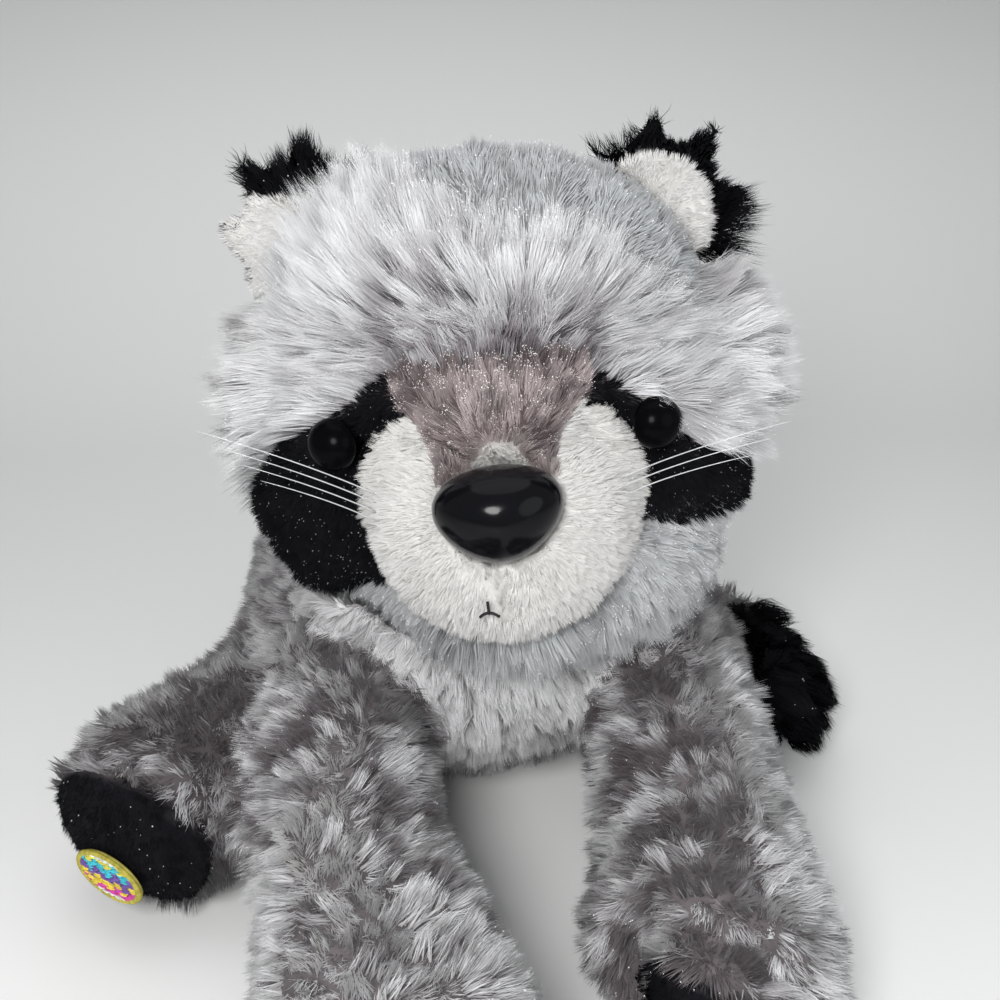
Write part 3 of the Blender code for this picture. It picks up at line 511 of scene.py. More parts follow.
def growCoat(look, points, normals, tri, seed):
    # one kind of coat, grown from the given triangles of the skin
    look = {**plainCoat, **look}
    rng = np.random.default_rng(seed)
    a, b, c = (points[tri[:, k]] for k in range(3))
    area = np.linalg.norm(np.cross(b - a, c - a), axis=1) / 2
    if "thick" in look:
        area = area * look["thick"](points[tri].mean(1))
    want = int(area.sum() * look["perMm"])
    if want < 8:
        return None
    pick = rng.choice(len(tri), want, p=area / area.sum())
    u, v = rng.random(want), rng.random(want)
    flip = u + v > 1
    u[flip], v[flip] = 1 - u[flip], 1 - v[flip]
    share = np.stack([1 - u - v, u, v], 1)[:, :, None]
    root = (points[tri[pick]] * share).sum(1)
    up = unit((normals[tri[pick]] * share).sum(1))
    if "keep" in look:
        keep = look["keep"](root, up)
        root, up = root[keep], up[keep]
    count = len(root)
    way = flatOn(look["comb"](root, up), up)

    # tufts: strands near one another lean the same way and meet at their tips
    seeds = rng.choice(count, max(3, int(area.sum() / look["tuft"] ** 2)), replace=False)
    tree = KDTree(len(seeds))
    for i, s in enumerate(seeds):
        tree.insert(root[s], i)
    tree.balance()
    tuft = np.array([tree.find(p)[1] for p in root.tolist()])
    tufts = len(seeds)
    tuftTurn = rng.normal(0, look["tuftTurn"], tufts)
    tuftLean = rng.normal(0, look["tuftLean"], tufts)
    tuftTone = rng.normal(0, 1, tufts)
    tuftLong = np.clip(rng.normal(1, look["tuftLong"], tufts), 0.6, 1.35)

    length = rng.uniform(*look["long"], count) * tuftLong[tuft]
    if "longAt" in look:
        length = length * look["longAt"](root, up)
    lean = look["lean"] + tuftLean[tuft] + rng.normal(0, look["stray"] * 0.7, count)
    if "leanAt" in look:
        lean = lean + look["leanAt"](root, up)
    opened = np.zeros(count)
    if "part" in look:
        grain, depth = look["part"]
        off, away = partings(root, look["lay"], grain, 5)
        where = ease(-0.5, 0.4, cloud(root, grain * 2.6, 17))
        opened = np.exp(-(off / (grain * 0.16)) ** 2) * where * depth
        wider = np.exp(-(off / (grain * 0.42)) ** 2) * where
        way = flatOn(way + away * (wider * 0.8)[:, None], up)
        lean = lean + 8 * wider
        length = length * (1 - 0.16 * opened)
    across = np.cross(up, way)
    turn = np.radians(tuftTurn[tuft] + rng.normal(0, look["stray"], count))
    heading = way * np.cos(turn)[:, None] + across * np.sin(turn)[:, None]
    steps = look["steps"]
    lines = np.empty((count, steps + 1, 3))
    lines[:, 0] = root - up * look["bury"]
    for i in range(steps):
        angle = np.radians(np.clip(lean + look["bend"] * (i / max(1, steps - 1) - 0.3), 2, 98))
        part = up * np.cos(angle)[:, None] + heading * np.sin(angle)[:, None]
        lines[:, i + 1] = lines[:, i] + unit(part) * (length / steps)[:, None]
    members = np.maximum(np.bincount(tuft, minlength=tufts), 1)[:, None]
    for i in range(1, steps + 1):
        middle = np.stack([np.bincount(tuft, lines[:, i, k], tufts) for k in range(3)], 1) / members
        pull = look["pull"] * (i / steps) ** 1.4 * rng.uniform(0.55, 1.1, count)
        lines[:, i] += (middle[tuft] - lines[:, i]) * np.clip(pull, 0, 0.95)[:, None]

    # colour from root to tip, darker where the pile opens, in blotches, with a tone of its own for each tuft
    tone = (tuftTone[tuft] * look["tuftShade"] + rng.normal(0, look["strandShade"], count)
            + cloud(root, look["blotch"], 7) * look["blotchShade"])
    if "toneAt" in look:
        tone = tone + look["toneAt"](root, up)
    dark = np.clip(look["darkShare"] - tone * 0.5 + opened, 0, 1)[:, None, None]
    stops = np.linspace(0, 1, steps + 1)

    def gradient(three):
        first, middle, last = (np.array(x, float) for x in three)
        early = np.clip(stops * 2, 0, 1)[:, None]
        late = np.clip(stops * 2 - 1, 0, 1)[:, None]
        return first + (middle - first) * early + (last - middle) * late

    colours = gradient(look["light"])[None] * (1 - dark) + gradient(look["dark"])[None] * dark
    if "streakAt" in look:
        # narrow dark streaks where neighbouring strands share their dye
        absent = 1 - look["streakAt"](root, up)
        streak = ease(0.75, 1.05, cloud(root, look["streakGrain"], 27, 1) - 1.5 * absent)
        colours += (gradient(look["streakDye"])[None] - colours) * streak[:, None, None]
    colours = colours * np.clip(1 + rng.normal(0, 0.05, (count, 1, 1)), 0.7, 1.3)
    roll = np.radians(rng.uniform(-60, 60, count))
    forward = unit(lines[:, -1] - lines[:, 0])
    wide = unit(np.cross(forward, up) + 1e-6)
    sideways = wide * np.cos(roll)[:, None] + np.cross(forward, wide) * np.sin(roll)[:, None]
    half = rng.uniform(0.7, 1.15, count) * look["wide"] / 2
    grown = {"lines": lines, "sideways": sideways, "half": half, "up": up,
             "colours": np.clip(colours, 0.002, 0.97), "shine": np.zeros(count)}

    # painted glints: a short bright flake near the tip of the odd strand, coloured to stand for the lamp's
    # glint on shiny fibres
    odd = np.flatnonzero(rng.random(count) < look["tinsel"])
    if len(odd):
        size = rng.uniform(0.10, 0.25, len(odd)) * look["tinselSize"]
        along = unit(lines[odd, -1] - lines[odd, -2])
        at = np.linspace(-0.7, 0.5, steps + 1)
        flake = lines[odd, -1][:, None] + along[:, None] * (at[None, :, None] * size[:, None, None])
        flake += up[odd][:, None] * 0.12
        colours = np.broadcast_to(np.array(look["tinselColour"]), flake.shape) * 1.0
        flakes = {"lines": flake, "sideways": unit(np.cross(along, up[odd]) + 1e-6), "half": size * 0.5,
                  "up": up[odd], "colours": colours, "shine": np.ones(len(odd))}
        grown = joinGrown([grown, flakes])
    return grown


def insideOf(trees, points, depth=1.0, reach=30):
    # tells which points lie deeper than that inside a closed skin
    hidden = np.zeros(len(points), bool)
    for tree in trees:
        for i, p in enumerate(points.tolist()):
            if not hidden[i]:
                spot, normal, _, far = tree.find_nearest(p)
                hidden[i] = far < reach and (Vector(p) - spot).dot(normal) < -depth
    return hidden


def thinOut(skin, share):
    # the coat hides the skin, so far fewer faces will do
    fewer = skin.modifiers.new("fewer", "DECIMATE")
    fewer.ratio = share
    graph = bpy.context.evaluated_depsgraph_get()
    made = bpy.data.meshes.new_from_object(skin.evaluated_get(graph))
    skin.modifiers.clear()
    old, skin.data = skin.data, made
    bpy.data.meshes.remove(old)


def dress(skin, looks, others, seed, sorter=None, dents=None):
    # shrinks the skin to the roots of its coat, grows each kind of coat and makes a piece for each
    nodes = nodesOf(looks)
    mesh = skin.data
    points = numbers(mesh.vertices, "co", np.float32, 3).astype(float) / mm
    finder = NodeFinder(nodes)
    kindOfNode = np.array([next(i for i, look in enumerate(looks) if n in look["nodes"]) for n in nodes])
    outside = points.copy()
    kind = kindOfNode[finder.of(points)]
    insets = np.array([look["inset"] for look in looks])
    inset = insets[kind]
    if sorter:
        kind = sorter(points, kind, vertNormals(mesh))
        inset = np.minimum(inset, insets[kind])
    edges = numbers(mesh.edges, "vertices", np.int32, 2)
    inset = spreadOver(inset, edges, 2)[:, 0] + skinSet["overlap"]
    if dents:
        inset = inset + dents(points, vertNormals(mesh))
    points = points - unit(spreadOver(vertNormals(mesh), edges, 3)) * inset[:, None]
    points[:, 2] = np.maximum(points[:, 2], skinSet["lowest"])
    mesh.vertices.foreach_set("co", (points * mm).astype(np.float32).ravel())
    mesh.update()
    normals = vertNormals(mesh)
    tri = triangles(mesh)
    triKind = kindOfNode[finder.of(outside[tri].mean(1))]
    if sorter:
        triKind = sorter(outside[tri].mean(1), triKind, unit(normals[tri].mean(1)))
    base = spreadOver(np.array([look["skin"] for look in looks])[kind], edges, 1)
    colourPoints(mesh, np.clip(base * (1 + 0.2 * cloud(points, 6, 3))[:, None], 0.002, 1))
    grown = {}
    for i, look in enumerate(looks):
        rows = tri[triKind == i]
        under = (points[rows].mean(1)[:, 2] < 1.0) & (normals[rows].mean(1)[:, 2] < -0.6)
        part = growCoat(look, points, normals, rows[~under], seed + i)
        if part is None:
            continue
        hidden = insideOf(others, part["lines"][:, 0])
        if hidden.any():
            part = {k: v[~hidden] for k, v in part.items()}
        grown.setdefault((look["piece"], look["slot"], part["lines"].shape[1]), []).append(part)
    thinOut(skin, skinSet["keepShare"])
    skin.data.shade_smooth()
    skin.data.materials.clear()
    skin.data.materials.append(skinCloth)
    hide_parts(*nodes)
    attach(skin, "root")
    total = len(skin.data.polygons)
    for (name, slot, points3), parts in grown.items():
        whole = joinGrown(parts)
        each, count = 2 * (points3 - 1) - 1, len(whole["half"])
        pieces = math.ceil(count * each / strandSet["mostTriangles"])
        for k in range(pieces):
            cut = slice(k * count // pieces, (k + 1) * count // pieces)
            label = name if pieces == 1 else "%s_%d" % (name, k + 1)
            fields = (whole[k] for k in ("lines", "sideways", "half", "up", "colours", "shine"))
            strandPiece(label, *(values[cut] for values in fields), slot)
        total += count * each
        note("%s: %d strands, %d triangles" % (name, count, count * each))
    return total


def clothMaterial():
    # the woven backing under the pile
    made, nodes, links, shader = newMaterial("backingCloth")
    colour = addNode(nodes, "Attribute", attribute_name="strandColour")
    weave = patternOn(nodes, links, "TexNoise", {"Scale": 1400, "Detail": 2})
    addRelief(nodes, links, weave, shader, 0.4, 0.0002)
    joinUp(links, (colour, "Color", shader, "Base Color"))
    setInputs(shader, {"Roughness": 0.9, "Specular IOR Level": 0.15})
    return made


skinCloth = clothMaterial()

# the coats
def awayFrom(centre, extra=(0, 0, 0)):
    centre, extra = np.array(centre, float), np.array(extra, float)
    return lambda p, n: unit(p - centre) + extra


def steady(way):
    return lambda p, n: np.repeat(np.array([way], float), len(p), 0)


def nodesOf(looks):
    return [n for look in looks for n in look["nodes"]]


browSpot = onHead(0, 4, 0)
noseSpot = headFrame @ Vector(headSet["noseAt"])
eyeSpots = [onHead(side * 34, -1, 4.75) for side in (-1, 1)]


def farFrom(points, spot):
    return np.linalg.norm(points - np.array(spot), axis=1)


def clearOfEyes(p, n):
    return np.all([farFrom(p, e) > headLines["eyeBare"] for e in eyeSpots], axis=0)


def clearOfNose(p, n):
    x, y, z = toHead(p).T
    (wide, high), middle = headLines["noseBare"], headLines["noseBareAt"]
    return ((x / wide) ** 2 + ((z - middle) / high) ** 2 > 1) | (y > -30)


# lines on the head, in its own frame: x to the animal's left, z up
headLines = {
    "fringeX": (-40, -20, -10, 0, 12, 18, 24.5, 34, 45),      # where the shag of the brow begins
    "fringeZ": (-2, 7.9, 10.4, 11.3, 10.5, 8.6, 3.0, -5.5, -8.5),
    "crownX": (-40, -14, -6, 0, 13, 20, 27, 34, 45),          # how far back the shag goes, by its roots
    "crownZ": (60, 43, 37.5, 33.5, 30.5, 28, 22, 15.5, 8),
    "muzzleAt": (0.6, -14.0),
    "muzzleHalf": (25.0, 22.4),
    "maskLow": {"left": -28.0, "right": -25.0},
    "maskOuter": -33.5,
    "bridgeHalf": 10.4, "bridgeFlare": 6.4, "bridgeLow": -7,
    "eyeBare": 4.0,                          # no pile nearer than that to an eye
    "noseBare": (8.7, 6.3), "noseBareAt": -11.4,
    "creaseDeep": 1.7, "seamDeep": 1.8,
    "cheekAt": (-39, -14, -11), "cheekFull": 4.2, "cheekWide": 9.5,
}


def fringeLine(x):
    return np.interp(x, headLines["fringeX"], headLines["fringeZ"])


def crownLine(x):
    return np.interp(x, headLines["crownX"], headLines["crownZ"])


def muzzleEdge(at):
    # how far a point of the face lies outside the round of the muzzle
    (x, z), (wide, high) = headLines["muzzleAt"], headLines["muzzleHalf"]
    return (np.hypot((at[:, 0] - x) / wide, (at[:, 2] - z) / high) - 1) * 23.5


def headKinds(p, kind, n):
    # on its front, the head is coloured by lines of its own, as the sewn panels run
    at = toHead(p)
    x, y, z = at.T
    front = (y < -4) & (z < 30)
    fringe = fringeLine(x)
    muzzle = muzzleEdge(at) < 0
    bridgeHalf = headLines["bridgeHalf"] + headLines["bridgeFlare"] * ease(-5, 8, z)
    bridge = (np.abs(x) < bridgeHalf) & (z > headLines["bridgeLow"])
    notch = (np.abs(x - 0.8) < 3.4 - 0.6 * (z + 4)) & (z < -1.6)
    left, right = headLines["maskLow"]["left"], headLines["maskLow"]["right"]
    lowEdge = np.where(x > 0, left, np.where(x < -20, right + 0.7 * (x + 20), right))
    outer = np.where(x < 0, np.where(z > -3, headLines["maskOuter"], -60), 60)
    mask = (z > lowEdge) & (x > outer) & (y < -8)
    raised = np.degrees(np.arctan2(z / 39, -y / 37))
    kind = kind.copy()
    behind = (z > crownLine(x)) | (raised > 82)
    kind[(kind == 1) & behind] = 0
    kind[(kind == 0) & front & (z >= fringe) & ~behind] = 1
    face = front & (z < fringe)
    kind[(y < -4) & (z >= fringe) & (z < 14) & np.isin(kind, (3, 5))] = 1
    kind[face & mask & (kind != 2)] = 3
    kind[face & muzzle & (y < -18)] = 4
    kind[face & bridge & ~notch & (y < -22)] = 5
    kind[face & ~mask & ~muzzle & (z < -20)] = 6
    return kind


def headDents(p, n):
    # the crease round the muzzle, the seam below the nose, and the full cheek of the right mask
    at = toHead(p)
    face = (at[:, 1] < -12) & (at[:, 2] < 4)
    crease = headLines["creaseDeep"] * np.exp(-((muzzleEdge(at) - 1.0) / 1.5) ** 2)
    seam = headLines["seamDeep"] * np.exp(-(seamDistance(p) / 0.9) ** 2)
    full = headLines["cheekFull"] * np.exp(-(farFrom(at, headLines["cheekAt"]) / headLines["cheekWide"]) ** 2)
    return np.where(face, crease + seam, 0) - full


def aboveFringe(p):
    # a point's place sideways on the head, and its height over the line where the shag begins
    at = toHead(p)
    return at[:, 0], at[:, 2] - fringeLine(at[:, 0])


def belowCrown(p):
    at = toHead(p)
    return crownLine(at[:, 0]) - at[:, 2]


def crownComb(p, n):
    x, rise = aboveFringe(p)
    swirl = cloud(p, 12, 21) * 0.22
    hang = ease(13, 24, np.abs(x)) * ease(7, 0, rise)
    way = unit(p - np.array(browSpot)) + np.stack([swirl, swirl * 0.3, 0.45 + swirl * 0], 1)
    return way + hang[:, None] * fromHeadWay(np.stack([0.3 * np.sign(x), -0.2 + 0 * x, -1.5 + 0 * x], 1))


def crownLean(p, n):
    x, rise = aboveFringe(p)
    return -10 * ease(6, 0, rise) * ease(12, 22, np.abs(x)) + 8 * ease(10, 0, belowCrown(p))


def crownTone(p, n):
    # dark roots above the bridge, and pale towards the top and the sides
    x, rise = aboveFringe(p)
    middle = ease(20, 12, np.abs(x - 1))
    roots = -1.3 * ease(2.6, 0.4, rise) * middle - 0.15 * middle * ease(16, 8, rise)
    return roots + 0.55 * ease(11, 22, rise) + 0.5 * ease(14, 22, np.abs(x))


# dark streaks: over the middle of the brow, and a patch at each temple, by its place and width on the head
streakSet = {"strength": 0.92, "temples": (((38, -20, 13), 8), ((-27, -32, 17), 6))}


def streakPlaces(p, n):
    x, rise = aboveFringe(p)
    middle = ease(29, 19, np.abs(x - 1)) * ease(-0.5, 2, rise) * ease(25, 15, rise)
    temples = [np.exp(-(farFrom(toHead(p), spot) / wide) ** 2) for spot, wide in streakSet["temples"]]
    return np.clip(np.max([middle * streakSet["strength"], *temples], axis=0), 0, 1)


def crownLong(p, n):
    x, rise = aboveFringe(p)
    return (0.72 + 0.28 * ease(0, 9, rise)) * (0.62 + 0.38 * ease(0, 8, belowCrown(p)))


def cheekComb(p, n):
    local = toHead(p)
    side = np.sign(local[:, :1])
    return unit(p - np.array(browSpot)) + side * np.array([[0.5, 0.2, 0]]) + np.array([[0, 0, -0.22]])


def muzzleComb(p, n):
    return unit(p - np.array(noseSpot)) + np.array([[0, 0, -0.15]])


def bridgeComb(p, n):
    return fromHeadWay(np.repeat([[0.0, 0.35, 1.0]], len(p), 0)) + 0.3 * unit(p - np.array(noseSpot))


def seamDistance(p):
    # the seam that runs down from the nose over the front of the muzzle
    local = toHead(p)
    under = (local[:, 2] < -14) & (local[:, 2] > -30) & (local[:, 1] < -28)
    return np.where(under, np.abs(local[:, 0] + 1.2 + 0.12 * (local[:, 2] + 19)), 99.0)


def muzzleLong(p, n):
    # short beside its seam
    return 0.5 + 0.5 * ease(0, 2.6, seamDistance(p))


def muzzleShade(p, n):
    # painted shade: darker along the recessed seam below the nose and towards the muzzle's edge, in its
    # crease
    return -1.3 * np.exp(-(seamDistance(p) / 0.7) ** 2) - 0.5 * ease(-2.5, 0, muzzleEdge(toHead(p)))


def bridgeShadeTone(p, n):
    # painted shade: darker under the brow, where its shadow falls, and at both sides of the nose; a lighter
    # middle
    x, y, z = toHead(p).T
    sides = np.exp(-((np.abs(x - 0.5) - 8) / 3.5) ** 2) * ease(4, -3, z)
    return 0.35 - 0.9 * sides - 0.9 * ease(8.5, 11, z)


def chinShadeTone(p, n):
    # painted shade in the muzzle's crease, where the muzzle shades the jowl; towards its lower edge pale
    at = toHead(p)
    return -0.7 * ease(3.5, 0.5, muzzleEdge(at)) + 0.9 * ease(-33, -39, at[:, 2])


def chinLong(p, n):
    # its lower edge hangs over the chest
    return 1 + 0.9 * ease(-31, -38, toHead(p)[:, 2])


def chinComb(p, n):
    return unit(p - np.array(noseSpot)) + np.array([[0, -0.1, -0.9]])


blackStrands = {
    "light": [(0.003, 0.003, 0.004), (0.006, 0.006, 0.008), (0.011, 0.011, 0.014)],
    "dark": [(0.002, 0.002, 0.003), (0.003, 0.003, 0.004), (0.006, 0.006, 0.007)],
}
coatHead = [
    dict(nodes=["head"], piece="headPile", slot="grey_pile", inset=2.4, skin=(0.22, 0.225, 0.23), perMm=4.0,
         long=(2.0, 3.2), lean=38, tuft=2.2, pull=0.35, wide=0.36, comb=steady((0, 1, -0.4)), tinsel=0.05,
         light=[(0.30, 0.31, 0.32), (0.5, 0.5, 0.5), (0.64, 0.655, 0.67)],
         dark=[(0.17, 0.175, 0.18), (0.3, 0.3, 0.3), (0.44, 0.45, 0.46)]),
    dict(nodes=["crown_ruff"], piece="crownShag", slot="pale_shag", inset=6.0, skin=(0.16, 0.14, 0.145),
         perMm=17.0, long=(8, 12.5), lean=42, bend=14, tuft=2.0, pull=0.5, stray=9, tuftTurn=12, tuftLean=8,
         wide=0.16, steps=2, comb=crownComb, leanAt=crownLean, longAt=crownLong, toneAt=crownTone,
         tinsel=0.05, streakAt=streakPlaces, streakGrain=1.5,
         streakDye=[(0.02, 0.016, 0.018), (0.04, 0.033, 0.037), (0.13, 0.115, 0.125)],
         darkShare=0.26, blotch=7, blotchShade=0.4, tuftShade=0.45, strandShade=0.2,
         light=[(0.42, 0.405, 0.415), (0.76, 0.76, 0.78), (0.965, 0.965, 0.97)],
         dark=[(0.04, 0.032, 0.036), (0.14, 0.115, 0.125), (0.48, 0.46, 0.49)]),
    dict(nodes=["cheek_ruff_right", "cheek_ruff_left"], piece="cheekShag", slot="pale_shag", inset=4.5,
         skin=(0.24, 0.22, 0.225), perMm=10.0, long=(7.5, 12), lean=50, bend=22, tuft=3.4, pull=0.6, stray=8,
         tuftTurn=14, wide=0.19, steps=2, comb=cheekComb, tinsel=0.05, streakAt=streakPlaces, streakGrain=1.8,
         streakDye=[(0.03, 0.022, 0.022), (0.065, 0.05, 0.05), (0.20, 0.17, 0.17)],
         darkShare=0.1, blotch=9, blotchShade=0.5, tuftShade=0.3,
         light=[(0.52, 0.51, 0.51), (0.86, 0.86, 0.87), (0.965, 0.96, 0.96)],
         dark=[(0.08, 0.065, 0.07), (0.22, 0.19, 0.195), (0.70, 0.68, 0.70)]),
    dict(blackStrands, nodes=["mask_right", "mask_left"], piece="maskPile", slot="black_pile", inset=1.6,
         skin=(0.003, 0.003, 0.004), perMm=13.0, long=(2.0, 3.0), lean=34, tuft=1.8, pull=0.3, stray=16,
         wide=0.28, comb=awayFrom(browSpot, (0, 0, -0.5)), keep=clearOfEyes, tinsel=0.022, tinselSize=0.8,
         tinselColour=(0.4, 0.41, 0.43)),
    dict(nodes=["muzzle"], piece="muzzlePile", slot="white_pile", inset=1.5, skin=(0.60, 0.585, 0.56),
         perMm=19.0, long=(1.7, 2.6), lean=24, tuft=1.7, pull=0.45, stray=14, wide=0.24, comb=muzzleComb,
         keep=clearOfNose, tinsel=0.004, darkShare=0.12, toneAt=muzzleShade, strandShade=0.12, tuftShade=0.16,
         blotch=9, blotchShade=0.3,
         light=[(0.70, 0.685, 0.66), (0.78, 0.77, 0.75), (0.84, 0.83, 0.81)],
         dark=[(0.40, 0.38, 0.36), (0.52, 0.5, 0.48), (0.62, 0.60, 0.575)],
         longAt=muzzleLong),
    dict(nodes=["nose_bridge"], piece="bridgePile", slot="taupe_pile", inset=1.8, skin=(0.10, 0.075, 0.075),
         perMm=17.0, long=(2.4, 3.8), lean=38, tuft=2.0, pull=0.4, stray=11, wide=0.22,
         comb=bridgeComb, keep=clearOfNose, toneAt=bridgeShadeTone, darkShare=0.55, blotch=4, blotchShade=0.6,
         tinsel=0.16, tinselSize=0.8, tinselColour=(0.97, 0.93, 0.90),
         light=[(0.24, 0.19, 0.19), (0.4, 0.35, 0.34), (0.52, 0.44, 0.435)],
         dark=[(0.04, 0.028, 0.030), (0.12, 0.09, 0.095), (0.12, 0.088, 0.092)]),
    dict(nodes=["chin"], piece="chinPile", slot="grey_pile", inset=1.6, skin=(0.34, 0.35, 0.36), perMm=11.0,
         long=(2.6, 4.0), lean=40, tuft=2.4, pull=0.45, stray=14, wide=0.26, toneAt=chinShadeTone, longAt=chinLong,
         comb=chinComb, tinsel=0.06, darkShare=0.3,
         light=[(0.42, 0.435, 0.45), (0.7, 0.71, 0.72), (0.76, 0.77, 0.78)],
         dark=[(0.14, 0.145, 0.15), (0.3, 0.3, 0.31), (0.34, 0.35, 0.36)]),
]


def nearHead(p):
    # 1 beside the head, falling to 0 about 7 mm away
    near = np.zeros(len(p))
    for i in np.flatnonzero((p[:, 2] > 30) & (p[:, 1] < -15)):
        far = headOutside.find_nearest(Vector(p[i]))[3]
        near[i] = math.exp(-(far / 4.0) ** 2)
    return near


def fromHead(p):
    middle = np.array(headSet["at"], float)
    return unit(p - middle) * nearHead(p)[:, None] * 2


def legComb(p, n):
    # down the leg to the paw, and off its ridge to both sides
    middle = np.where(p[:, 0] < 0, -31.0, 36.0)
    spread = np.clip((p[:, 0] - middle) / 18, -1.2, 1.2)
    swirl = cloud(p, 13, 31)
    way = np.stack([spread * 0.8 + swirl * 0.7, -0.7 + 0.4 * cloud(p, 10, 32), -0.35 + 0 * spread], 1)
    return way + fromHead(p)


def hindComb(p, n):
    swirl = cloud(p, 14, 33)
    return np.stack([np.sign(p[:, 0]) * 0.5 + swirl * 0.4, -0.7 + 0.3 * swirl, -0.4 + 0 * swirl], 1)


def trunkComb(p, n):
    side = np.clip(p[:, 0] / 45, -1, 1)
    back = ease(-30, 40, p[:, 1])
    swirl = cloud(p, 14, 34)
    way = np.stack([side * 0.4 + swirl * 0.3, back * 0.8 - (1 - back) * 0.25, -0.8 + 0.5 * back], 1)
    return way + fromHead(p)


# seams of the leg panels, as points along the toy in millimetres
legSeams = [
    ((44, -62, 46), (42, -80, 42), (31, -100, 38), (35, -114, 36), (34, -125, 33)),
    ((-50, -60, 40), (-50, -90, 34), (-47, -118, 28), (-40, -134, 22)),
]


def seamGap(p):
    # how far off the nearest leg seam a point lies
    best = np.full(len(p), 99.0)
    for seam in legSeams:
        for a, b in zip(np.array(seam[:-1], float), np.array(seam[1:], float)):
            share = np.clip(((p - a) @ (b - a)) / ((b - a) @ (b - a)), 0, 1)
            best = np.minimum(best, np.linalg.norm(p - a - share[:, None] * (b - a), axis=1))
    return best


# how deep the trunk's skin is drawn in or pushed out, in mm, and the line between the front legs
trunkSet = {"seam": 1.3, "neck": 2.2, "rightOuter": 3.0, "rightInner": 2.6, "leftInner": 8.0, "between": 6}


def trunkDents(p, n):
    # seams go in; the pile stands up to the head; and the two front paws get their outline
    x, y, z = p.T
    right = ease(-85, -100, y) * (x < trunkSet["between"])
    paws = trunkSet["rightOuter"] * right * ease(-33, -42, x)
    paws = paws - trunkSet["rightInner"] * right * ease(-13, -5, x)
    left = ease(-106, -115, y) * ease(23, 13, x) * (x > trunkSet["between"])
    paws = paws + trunkSet["leftInner"] * left
    return trunkSet["seam"] * np.exp(-(seamGap(p) / 1.8) ** 2) - trunkSet["neck"] * nearHead(p) + paws


def legTone(p, n):
    # dark in the seams, a paler panel on the outer side of the left leg, and the right paw pale
    x, y, z = p.T
    left = x > trunkSet["between"]
    panelEdge = np.interp(y, (-125, -100, -60), (35.0, 36.0, 39.5))
    outer = ease(0, 3.5, x - panelEdge) * ease(-50, -70, y) * left
    seams = -2.2 * np.exp(-(seamGap(p) / 1.7) ** 2)
    return seams + 2.8 * outer - 0.3 * left + 0.8 * ease(-88, -112, y) * ~left - 0.4 * ease(-80, -64, y)


def chestTone(p, n):
    # paler along its lower edge
    return 0.2 + 0.7 * ease(27, 17, p[:, 2])


def soleFrame(node):
    # middle, the long and the high way of a sole, and the way out of it
    corners = np.array([v.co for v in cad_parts[node].data.vertices]) / mm
    middle = (corners.max(0) + corners.min(0)) / 2
    ways = np.linalg.svd(corners - corners.mean(0), full_matrices=False)[2]
    out = ways[2] * np.sign(-ways[2][1])
    high = unit(np.array([0, 0, 1]) - out * out[2])
    return middle, np.cross(high, out), high, out


hindSole = soleFrame("hind_pad_right")


def trunkKinds(p, kind, n):
    # the pile of the left front paw hangs over the top of its sole, and the right hind sole is an oval
    x, y, z = p.T
    foreLeg, hindLeg, sole = 2, 3, 4
    hangsOver = (kind == sole) & (x > 0) & (y < -90) & (z > 31.5 - 0.26 * (x - 15.4))
    kind = np.where(hangsOver, foreLeg, kind)
    middle, long, high, out = hindSole
    off = p - middle
    u, v, w = off @ long, off @ high, off @ out
    near = (w > -6) & (x < -44) & (y < -55) & (np.abs(u) < 30)
    oval = ((u - 2.0) / 18.5) ** 2 + ((v + 2.2) / 14.8) ** 2 < 1
    return np.where(near & np.isin(kind, (hindLeg, sole)), np.where(oval, sole, hindLeg), kind)


mottled = {
    "slot": "mottled_pile", "inset": 3.0, "skin": (0.13, 0.115, 0.118), "long": (3.4, 5.0), "lean": 29,
    "tuft": 2.3, "pull": 0.42, "stray": 15, "tuftTurn": 34, "tuftLean": 11, "wide": 0.23, "tinsel": 0.02,
    "darkShare": 0.44, "blotch": 6.5, "blotchShade": 0.95, "tuftShade": 0.35, "strandShade": 0.2,
    "part": (3.8, 1.1), "lay": (0, 1, 0),
    "light": [(0.30, 0.29, 0.295), (0.6, 0.6, 0.6), (0.86, 0.86, 0.87)],
    "dark": [(0.028, 0.022, 0.025), (0.2, 0.2, 0.2), (0.15, 0.13, 0.137)],
}
coatTrunk = [
    dict(mottled, nodes=["body"], piece="bodyPlush", perMm=3.0, comb=trunkComb, wide=0.42),
    dict(mottled, nodes=["chest"], piece="chestPlush", perMm=14.0, comb=trunkComb, darkShare=0.06,
         lay=(0, 0, 1), tinsel=0.05, blotchShade=0.5, skin=(0.38, 0.37, 0.375), part=(5.0, 0.5),
         toneAt=chestTone,
         light=[(0.56, 0.55, 0.555), (0.7, 0.7, 0.7), (0.96, 0.96, 0.97)]),
    dict(mottled, nodes=["front_leg_right", "front_leg_left"], piece="foreLegPlush", perMm=9.4, wide=0.28,
         comb=legComb, toneAt=legTone),
    # painted shade: the hind legs wear the same plush as the front legs, coloured darker as if in their
    # shadow
    dict(mottled, nodes=["hind_leg_right", "hind_leg_left"], piece="hindLegPlush", perMm=6.6, comb=hindComb,
         darkShare=0.68, wide=0.32, skin=(0.08, 0.07, 0.072),
         light=[(0.22, 0.21, 0.215), (0.5, 0.5, 0.5), (0.58, 0.58, 0.59)],
         dark=[(0.03, 0.024, 0.026), (0.1, 0.1, 0.1), (0.13, 0.115, 0.12)]),
    dict(blackStrands, nodes=["front_pad_right", "front_pad_left", "hind_pad_right", "hind_pad_left"],
         piece="solePile", slot="black_pile", inset=1.0, skin=(0.004, 0.004, 0.006), perMm=9.0,
         long=(1.3, 2.0), lean=45, tuft=2.0, pull=0.25, stray=20, wide=0.28,
         comb=steady((0.3, 0, -1)), tinsel=0.004),
]

